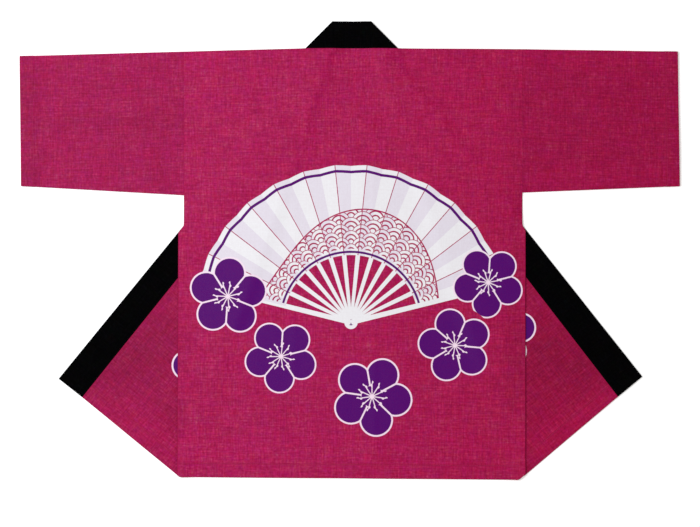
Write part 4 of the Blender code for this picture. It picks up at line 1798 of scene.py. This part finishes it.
@dataclass
class Collar(Panel):
    """The black band: two mirrored strips that are one piece behind the neck, folded out with the fronts.

    Its rounded edge laps over the fronts' edges a little, so that nothing shines through the seam.
    """

    cell: float = 5.0 * MM
    turn_steps: int = 9
    lap: float = 0.15 * MM
    seam_places: int = 300
    stitch_inset: float = 2.0 * MM

    def lay(self, side: Side, out: Array, up: Array, offset: Array) -> Array:
        """Lays points of one side's strip on the floor.

        As cut, the strip is straight. At the neck it turns over along a slant of 45 degrees, rises onto its
        own lower stretch, and runs level behind the neck.

        Args:
            side: The strip's side.
            out: Places outwards in the cut.
            up: Places upwards in the cut.
            offset: Places in the wall, up being positive where the strip is straight.

        Returns:
            The floor places.
        """
        layers, half = Layers(side), WALLS.solid_band / 2.0
        past, across = side.past_fold(out, up), side.across_fold
        straight = np.stack([out, up, layers.under_front(out, up) + half + offset], axis=-1)
        foot = out - past * across[0], up - past * across[1]
        fold = over_fold(out, up, offset, half, layers.under_front(*foot) + half, side.apex, across)
        flap = np.stack([*side.turned_over(out, up), half - offset], axis=-1)

        corner = side.neck_out, 0.0
        past_neck = (out - corner[0]) * NECK_NORMAL[0] + (up - corner[1]) * NECK_NORMAL[1]
        foot = out - past_neck * NECK_NORMAL[0], up - past_neck * NECK_NORMAL[1]
        low, high = layers.under_front(*foot) + half, layers.under_back(*foot) + half
        turn = over_fold(out, up, -offset, low, high, corner, NECK_NORMAL)
        turn[..., 2] = low + high - turn[..., 2]
        mirrored = out - 2.0 * past_neck * NECK_NORMAL[0], up - 2.0 * past_neck * NECK_NORMAL[1]
        neck = np.stack([*mirrored, layers.under_back(*mirrored) + half - offset], axis=-1)
        return self.table.place(side, choose(past, choose(past_neck, straight, turn, neck), fold, flap))

    def stations(self, side: Side) -> tuple[Array, Array]:
        """Works out the strip's rows, from the neck's middle to the hem.

        Args:
            side: The strip's side.

        Returns:
            How high each row meets the strip's free edge and its seam.
        """
        edges = np.array([side.free_out, side.neck_out + self.lap])
        steps = np.linspace(-1.0, 1.0, self.turn_steps) * LIE.fold_half
        at_neck = steps[::-1, None] / NECK_NORMAL[0] - (edges - side.neck_out)
        at_fold = side.fold_crossing(edges, steps[:, None])
        hem = side.front_hem_up(np.array([side.free_out, float(side.hem_ends()[1][0])]))
        middle = np.full(2, side.neck_out)
        none = np.zeros(1)

        def run(start: Array, end: Array, last: Array = none) -> Array:
            """Rows between two slants, without the first."""
            length = float(np.max(start - end))
            share = Span(self.cell, first=none, last=last).spread(length, length)[1:, None] / length
            return start + share * (end - start)

        rows = np.concatenate([
            middle[None], run(middle, at_neck[0]), at_neck[1:], run(at_neck[-1], at_fold[0]), at_fold[1:],
            run(at_fold[-1], hem, EDGE_STEPS),
        ])
        return rows[:, 0], rows[:, 1]

    def strip(self, side: Side) -> Shell:
        """Lays one half of the band, from the middle of the neck to its hem.

        Args:
            side: The half's side.

        Returns:
            The half's faces as grids.
        """
        at_free, at_seam = self.stations(side)
        seam = side.seam_out(at_seam) + self.lap
        width = (seam - side.free_out)[:, None]
        aside = Span(self.cell).spread(width[:, 0], CUT.neck_band)
        out = side.free_out + aside
        up = at_free[:, None] + aside / width * (at_seam - at_free)[:, None]
        above_hem = up - up[-1]
        distances = (aside, width - aside, above_hem)
        half = -WALLS.band / 2.0 * rounding(distances, np.full(out.shape, WALLS.band))
        half[-1] = 0.0
        half[:, [0, -1]] = 0.0
        return Shell(
            outer=self.lay(side, out, up, half), inner=self.lay(side, out, up, -half),
            flat=np.stack([aside, side.sign * (side.neck_out - up)], axis=-1),
            edge=np.minimum.reduce([aside, width - aside, above_hem]),
        )

    def shell(self) -> Shell:
        """Joins the two strips behind the neck.

        Returns:
            The laid band.
        """
        left, right = [self.strip(side) for side in SIDES]

        def join(name: str) -> Array:
            """The left strip's rows backwards, one row in the middle, and the right strip's rows."""
            one, other = getattr(left, name), getattr(right, name)
            return np.concatenate([one[:0:-1], (one[:1] + other[:1]) / 2.0, other[1:]])

        return Shell(**{name: join(name) for name in ("outer", "inner", "flat", "edge")})

    def seam(self, side: Side, inset: float) -> Array:
        """Follows the stitches by the seam, from the flap's hem up to the back's edge.

        Args:
            side: The strip's side.
            inset: How far from both ends they stop.

        Returns:
            A row of places on the cloth, and a row just above them.
        """
        hem, back = float(side.hem_ends()[1][1]), float(side.fold_crossing(side.neck_out))
        up = np.linspace(hem + inset, back - inset, self.seam_places)
        out, rise = side.seam_out(up) - self.stitch_inset, WALLS.band / 2.0
        return np.stack([self.lay(side, out, up, np.full(up.shape, -rise - step)) for step in (0.0, MM)])


@dataclass
class Sleeve(Panel):
    """A sleeve: one piece folded at the shoulder and seamed under the arm, flattened, with a turned cuff.

    Its stitches pinch the cuff by a share of the wall, and a painted shade lies in a strip along them.
    """

    side: Side
    pinch: float = PINCH_DEPTH
    seam_shade: float = 1.2 * MM
    hem_fade: float = 16.0 * MM
    cell: float = 6.0 * MM
    curve_steps: int = 6

    @property
    def fold_line(self) -> Array:
        """The shoulder fold's two ends, at the armhole and the cuff."""
        side = self.side
        start = side.armhole_out + WALLS.seam_gap / 2.0
        return np.array([[start, -side.armhole_down], [side.cuff_out, -side.cuff_down]])

    @property
    def seam_line(self) -> Array:
        """The underarm seam's two ends."""
        side = self.side
        start = side.armhole_out + WALLS.seam_gap / 2.0
        return np.array([[start, -side.underarm_down], [side.cuff_low_out, -side.cuff_low_down]])

    def section(self) -> tuple[Array, Array, Array, Array]:
        """The stations round the flattened tube, from its upper seam edge over the fold to its lower one.

        Returns:
            For each station the share of the flat depth, the arm's sine and cosine parts, and the share of
            the seam's gap.
        """
        quarter = np.linspace(0.5, 0.0, self.curve_steps + 1)[:-1] * math.pi
        half = np.linspace(0.0, 1.0, 2 * self.curve_steps + 1) * math.pi
        cells = round(self.side.underarm_down / self.cell)
        flat = np.linspace(1.0, 0.0, cells + 1)[:-1]
        none, whole, ends = np.zeros(cells), np.ones(cells), np.ones(quarter.shape)
        base = [ends, flat, 0.0 * half, flat[::-1], ends]
        sine = [np.sin(quarter), none, -np.sin(half), none, np.sin(quarter[::-1])]
        cosine = [np.cos(quarter), whole, np.cos(half), -whole, -np.cos(quarter[::-1])]
        gap = [quarter, none, 0.0 * half, none, -quarter[::-1]]
        base, sine, cosine, gap = [np.concatenate(part) for part in (base, sine, cosine, gap)]
        return base, sine, cosine, gap / (0.5 * math.pi)

    def lay(self, from_cuff: Array, offset: Array) -> tuple[Array, Array]:
        """The floor places round the sleeve at distances from the cuff.

        Args:
            from_cuff: A distance for each row.
            offset: Places in the wall, outwards being positive, that fit rows by stations.

        Returns:
            The places, and how far each is along the section from the fold line, lower layer negative.
        """
        fold_line, seam_line = self.fold_line, self.seam_line
        length = float(np.hypot(*(fold_line[1] - fold_line[0])))
        along = 1.0 - from_cuff[:, None] / length
        fold = fold_line[0] + along * (fold_line[1] - fold_line[0])
        seam = seam_line[0] + along * (seam_line[1] - seam_line[0])
        depth = np.hypot(*(seam - fold).T)[:, None]
        in_hem = smooth(1.0 - (from_cuff - CUT.cuff_depth) / self.hem_fade)[:, None]
        solid = WALLS.solid_cloth + (WALLS.solid_hem - WALLS.solid_cloth) * in_hem
        lift = LIE.cuff_lift * smooth(1.0 - from_cuff / LIE.cuff_lift_reach)[:, None]
        low, high = solid / 2.0, 1.5 * solid + WALLS.layer_gap + lift
        radius, middle = (high - low) / 2.0, (high + low) / 2.0
        base, sine, cosine, gap = self.section()
        reach, arm = radius + WALLS.cloth / 2.0, radius + offset
        down = reach + base * (depth - 2.0 * reach) + arm * sine
        height = middle + arm * cosine + WALLS.seam_gap / 2.0 * gap
        flat = fold[:, None] + (down / depth)[..., None] * (seam - fold)[:, None]
        places = np.concatenate([flat, height[..., None]], axis=-1)
        round_section = np.where(cosine < 0.0, -1.0, 1.0) * down
        return self.table.place(self.side, places), round_section

    def shell(self) -> Shell:
        """Lays the sleeve as one grid that goes from the upper seam edge round to the lower one.

        Returns:
            The laid cloth.
        """
        side = self.side
        length = float(np.hypot(*(self.fold_line[1] - self.fold_line[0])))
        from_cuff = Span(self.cell, first=hem_steps(CUT.cuff_depth)).spread(length, length)
        _, around = self.lay(from_cuff, np.zeros((1, 1)))
        depth = float(np.max(np.abs(around)))
        wall = sewn_wall(from_cuff[:, None], CUT.cuff_depth, self.pinch) + 0.0 * around
        ends = np.broadcast_to(from_cuff[:, None], around.shape)
        seam = beside(ends - CUT.cuff_depth + CUT.stitch_inset, self.seam_shade)
        distances = (depth - np.abs(around), ends)
        out = side.armhole_out + length - ends
        flat = np.stack([side.sign * out, -around], axis=-1)
        return shell_over(
            lambda offset: self.lay(from_cuff, offset)[0], flat, wall, distances, Face.UPPER, [seam]
        )

    def cuff_seam(self) -> Array:
        """Follows the cuff's stitches on the upper layer.

        Returns:
            A row of places on the cloth, and a row just above them.
        """
        from_cuff = np.array([CUT.cuff_depth - CUT.stitch_inset])
        rise = WALLS.hem * (1.0 - self.pinch) / 2.0
        upper = slice(self.curve_steps, -(len(self.section()[0]) // 2) - 2)
        rows = [self.lay(from_cuff, np.full((1, 1), rise + step))[0][0] for step in (0.0, MM)]
        return np.stack([row[upper] for row in rows])


@dataclass
class Stitching:
    """A row of stitches: each is a short thread that comes up out of the cloth and dives back into it.

    A stitch is a tube over rings. Each ring has a place along the stitch, as a share of its length, and a
    height and a radius, as shares of the thread's thickness. The stitches stray from their even places, by
    shares of the pitch, and turn a little from their line.
    """

    name: str
    pitch: float = 3.2 * MM
    length: float = 2.5 * MM
    thickness: float = 0.42 * MM
    sides: int = 6
    seed: int = 7
    stray_along: float = 0.02
    stray_turn: float = 0.06
    rings: tuple[Vector3, ...] = (
        (-0.50, -0.60, 0.30), (-0.34, 0.05, 0.46), (0.0, 0.30, 0.50), (0.34, 0.05, 0.46), (0.50, -0.60, 0.30),
    )

    def template(self) -> tuple[Array, list[list[int]]]:
        """Draws one stitch along X with its rise along Z, a circle for each ring.

        Returns:
            The rings' points, and the faces between them.
        """
        along, rise, radius = np.array(self.rings).T
        turn = np.arange(self.sides) * 2.0 * math.pi / self.sides
        around = np.stack([0.0 * turn, np.cos(turn), np.sin(turn)], axis=-1)
        centres = np.stack([along * self.length, 0.0 * along, rise * self.thickness], axis=-1)
        points = (centres[:, None] + (radius * self.thickness)[:, None, None] * around).reshape(-1, 3)
        last = len(points) - self.sides
        faces = [list(range(self.sides))[::-1], list(range(last, len(points)))]
        for ring in range(0, last, self.sides):
            for k in range(self.sides):
                one, two = ring + k, ring + (k + 1) % self.sides
                faces.append([one, two, two + self.sides, one + self.sides])
        return points, faces

    def build(self, seams: Sequence[Array], material: Material, slot: str) -> Piece:
        """Sews along each seam.

        Args:
            seams: For each, a row of places on the cloth and a row of places just above them.
            material: The thread's material.
            slot: Not used.

        Returns:
            The piece, with all of its stitches in one mesh.
        """
        template, shape = self.template()
        draw = np.random.default_rng(self.seed)
        points, faces = [], []
        for path, above in seams:
            way = np.concatenate([[0.0], np.cumsum(np.linalg.norm(np.diff(path, axis=0), axis=1))])
            count = int(way[-1] / self.pitch)
            strayed = draw.normal(0.0, self.stray_along, count)
            centre = (np.arange(count) + 0.5 + strayed) * self.pitch
            ends = [
                np.stack([np.interp(centre + half, way, path[:, axis]) for axis in range(3)], axis=-1)
                for half in (-self.length / 2.0, self.length / 2.0)
            ]
            normal = np.stack([np.interp(centre, way, (above - path)[:, axis]) for axis in range(3)], axis=-1)
            along = ends[1] - ends[0]
            along /= np.linalg.norm(along, axis=1, keepdims=True)
            aside = np.cross(normal, along)
            aside /= np.linalg.norm(aside, axis=1, keepdims=True)
            upward = np.cross(along, aside)
            swing = draw.normal(0.0, self.stray_turn, (count, 1))
            turned = along + swing * aside
            frame_of = np.stack([turned, aside - swing * along, upward], axis=1)
            middle = (ends[0] + ends[1]) / 2.0
            made = middle[:, None] + np.einsum("pk,nkj->npj", template, frame_of)
            start = sum(len(part) for part in points)
            points.append(made.reshape(-1, 3))
            faces += [[i + start + k * len(template) for i in face] for k in range(count) for face in shape]
        mesh = bpy.data.meshes.new(self.name)
        mesh.from_pydata(np.concatenate(points), [], faces)
        mesh.materials.append(material)
        close_up(mesh)
        piece = add_piece(self.name, mesh)
        return piece


# ---- the studio


@dataclass
class Studio:
    """A plain white floor, soft light from above and the left, and a camera that looks straight down."""

    view_width: float = 1.330
    centre: tuple[float, float] = (0.0005, -0.0247)
    lens: float = 100.0
    sensor: float = 36.0
    floor_half: float = 12.0
    floor_colour: Colour = (0.95, 0.95, 0.95, 1.0)
    floor_roughness: float = 0.9
    glow_colour: Colour = (1.0, 1.0, 1.0, 1.0)
    floor_glow: float = 0.26
    world_strength: float = 0.53
    world_colour: Colour = (1.0, 0.97, 0.92, 1.0)
    key_power: float = 46.0
    key_colour: Share = (1.0, 1.03, 1.08)
    key_at: Vector3 = (-1.22, 0.40, 2.30)
    key_size: float = 1.5

    def build(self) -> None:
        """Sets up the floor, the world, the lights and the camera."""
        self.add_floor()
        self.add_world()
        self.add_key()
        self.add_camera()

    def add_floor(self) -> None:
        """A large plane just under the coat."""
        half = self.floor_half
        mesh = bpy.data.meshes.new("floor")
        corners = [(-half, -half, 0.0), (half, -half, 0.0), (half, half, 0.0), (-half, half, 0.0)]
        mesh.from_pydata(corners, [], [(0, 1, 2, 3)])
        paper, wiring, shader = new_material("white floor")
        wiring.fill(shader, {
            "Base Color": self.floor_colour,
            "Roughness": self.floor_roughness,
            "Specular IOR Level": 0.0,
            "Emission Color": self.glow_colour,
            "Emission Strength": self.floor_glow,
        })
        mesh.materials.append(paper)
        floor = bpy.data.objects.new("floor", mesh)
        bpy.context.scene.collection.objects.link(floor)

    def add_world(self) -> None:
        """An even white surround."""
        world = bpy.data.worlds.new("surround")
        world.use_nodes = True
        surround = world.node_tree.nodes["Background"]
        surround.inputs["Color"].default_value = self.world_colour
        surround.inputs["Strength"].default_value = self.world_strength
        bpy.context.scene.world = world

    def add_key(self) -> None:
        """A wide soft box that looks at the coat's middle."""
        light = bpy.data.lights.new("key", "AREA")
        light.shape = "DISK"
        light.size = self.key_size
        light.energy = self.key_power
        light.color = self.key_colour
        key = bpy.data.objects.new("key", light)
        key.location = self.key_at
        towards = Vector((*self.centre, 0.0)) - key.location
        key.rotation_euler = towards.to_track_quat("-Z", "Y").to_euler()
        bpy.context.scene.collection.objects.link(key)

    def add_camera(self) -> None:
        """A long lens over the coat's middle, with the neck at the top of the picture."""
        data = bpy.data.cameras.new("camera")
        data.lens = self.lens
        data.sensor_width = self.sensor
        camera = bpy.data.objects.new("camera", data)
        camera.location = (*self.centre, self.view_width * self.lens / self.sensor)
        bpy.context.scene.collection.objects.link(camera)
        bpy.context.scene.camera = camera
        bpy.context.scene.view_settings.view_transform = "Standard"


# ---- the coat


FAN = Print(
    blooms=(
        Bloom(across=-0.2353, up=-0.4712, radius=0.076, turn=14.0),
        Bloom(across=-0.1346, up=-0.5852, radius=0.071, turn=50.0),
        Bloom(across=0.0383, up=-0.6612, radius=0.078, turn=-8.0),
        Bloom(across=0.1960, up=-0.5643, radius=0.072, turn=31.0),
        Bloom(across=0.2587, up=-0.4446, radius=0.069, turn=-22.0),
    ),
    fan_at=(-0.0016, -0.5206),
)


# What multiplies the dye's channels on each piece: less on the sleeves and fronts than on the back.
BACK_LEVELS: Share = (0.993, 1.03, 1.01)
SLEEVE_LEVELS: Share = (0.88, 0.78, 0.91)
FRONT_LEVELS: Share = (0.833, 0.66, 0.80)

# How deep the stitches pinch each cuff, and how far from an edge the line of stitches counts as being, for the
# painted shade along it.
CUFF_SEAMS = {"left": (0.10, 2.1 * MM), "right": (PINCH_DEPTH, 1.2 * MM)}


def flap_print(side: Side, out: float, up: float, radius: float, turn: float) -> Print:
    """A blossom on a front's outer face, given by where its centre lies once the flap is folded out."""
    cut_out, cut_up = side.turned_over(out, up)
    return Print(blooms=(Bloom(across=side.sign * cut_out, up=cut_up, radius=radius, turn=turn),))


@dataclass
class HappiCoat:
    """The whole coat, built from the floor upwards."""

    table: Table

    def build(self) -> None:
        plain, wrong = MAGENTA.material(" sleeves", SLEEVE_LEVELS), MAGENTA_WRONG_SIDE.material()
        black = BLACK.material()
        flaps = (
            flap_print(LEFT, out=0.2740, up=-0.5930, radius=0.070, turn=20.0),
            flap_print(RIGHT, out=0.2820, up=-0.5405, radius=0.070, turn=-12.0),
        )
        sewn, tops = [], []
        for side, inks in zip(SIDES, flaps):
            front, node = Front(self.table, side), f"front_{side.name}"
            cloth = MAGENTA.material(f" {side.name} front", FRONT_LEVELS, inks)
            panel = front.build(f"{node}_cloth", node, "cloth", cloth, wrong)
            sleeve, node = Sleeve(self.table, side, *CUFF_SEAMS[side.name]), f"sleeve_{side.name}"
            tube = sleeve.build(f"{node}_cloth", node, "cloth", plain, wrong)
            sewn += [front.hem_seam(inset=3.0 * MM), sleeve.cuff_seam()]
            tops.append(panel.name)
        collar = Collar(self.table)
        band = collar.build("collar_band", "collar", "collar", black, black)
        back = Back(self.table)
        cloth = MAGENTA.material(" back", BACK_LEVELS, FAN)
        panel = back.build("back_cloth", "back", "cloth", cloth, wrong)
        sewn.append(back.hem_seam(inset=6.0 * MM))
        Stitching("hem_stitches").build(sewn, MAGENTA_THREAD.material(), "cloth")
        joins = [collar.seam(side, inset=6.0 * MM) for side in SIDES]
        Stitching("collar_stitches").build(joins, BLACK_THREAD.material(), "collar")


def main() -> None:
    """Builds the coat and the studio, in that order."""
    logging.basicConfig(level=logging.INFO, format="%(name)s: %(message)s")
    HappiCoat(Table.from_frame()).build()
    Studio().build()


if __name__ == "__main__":
    main()
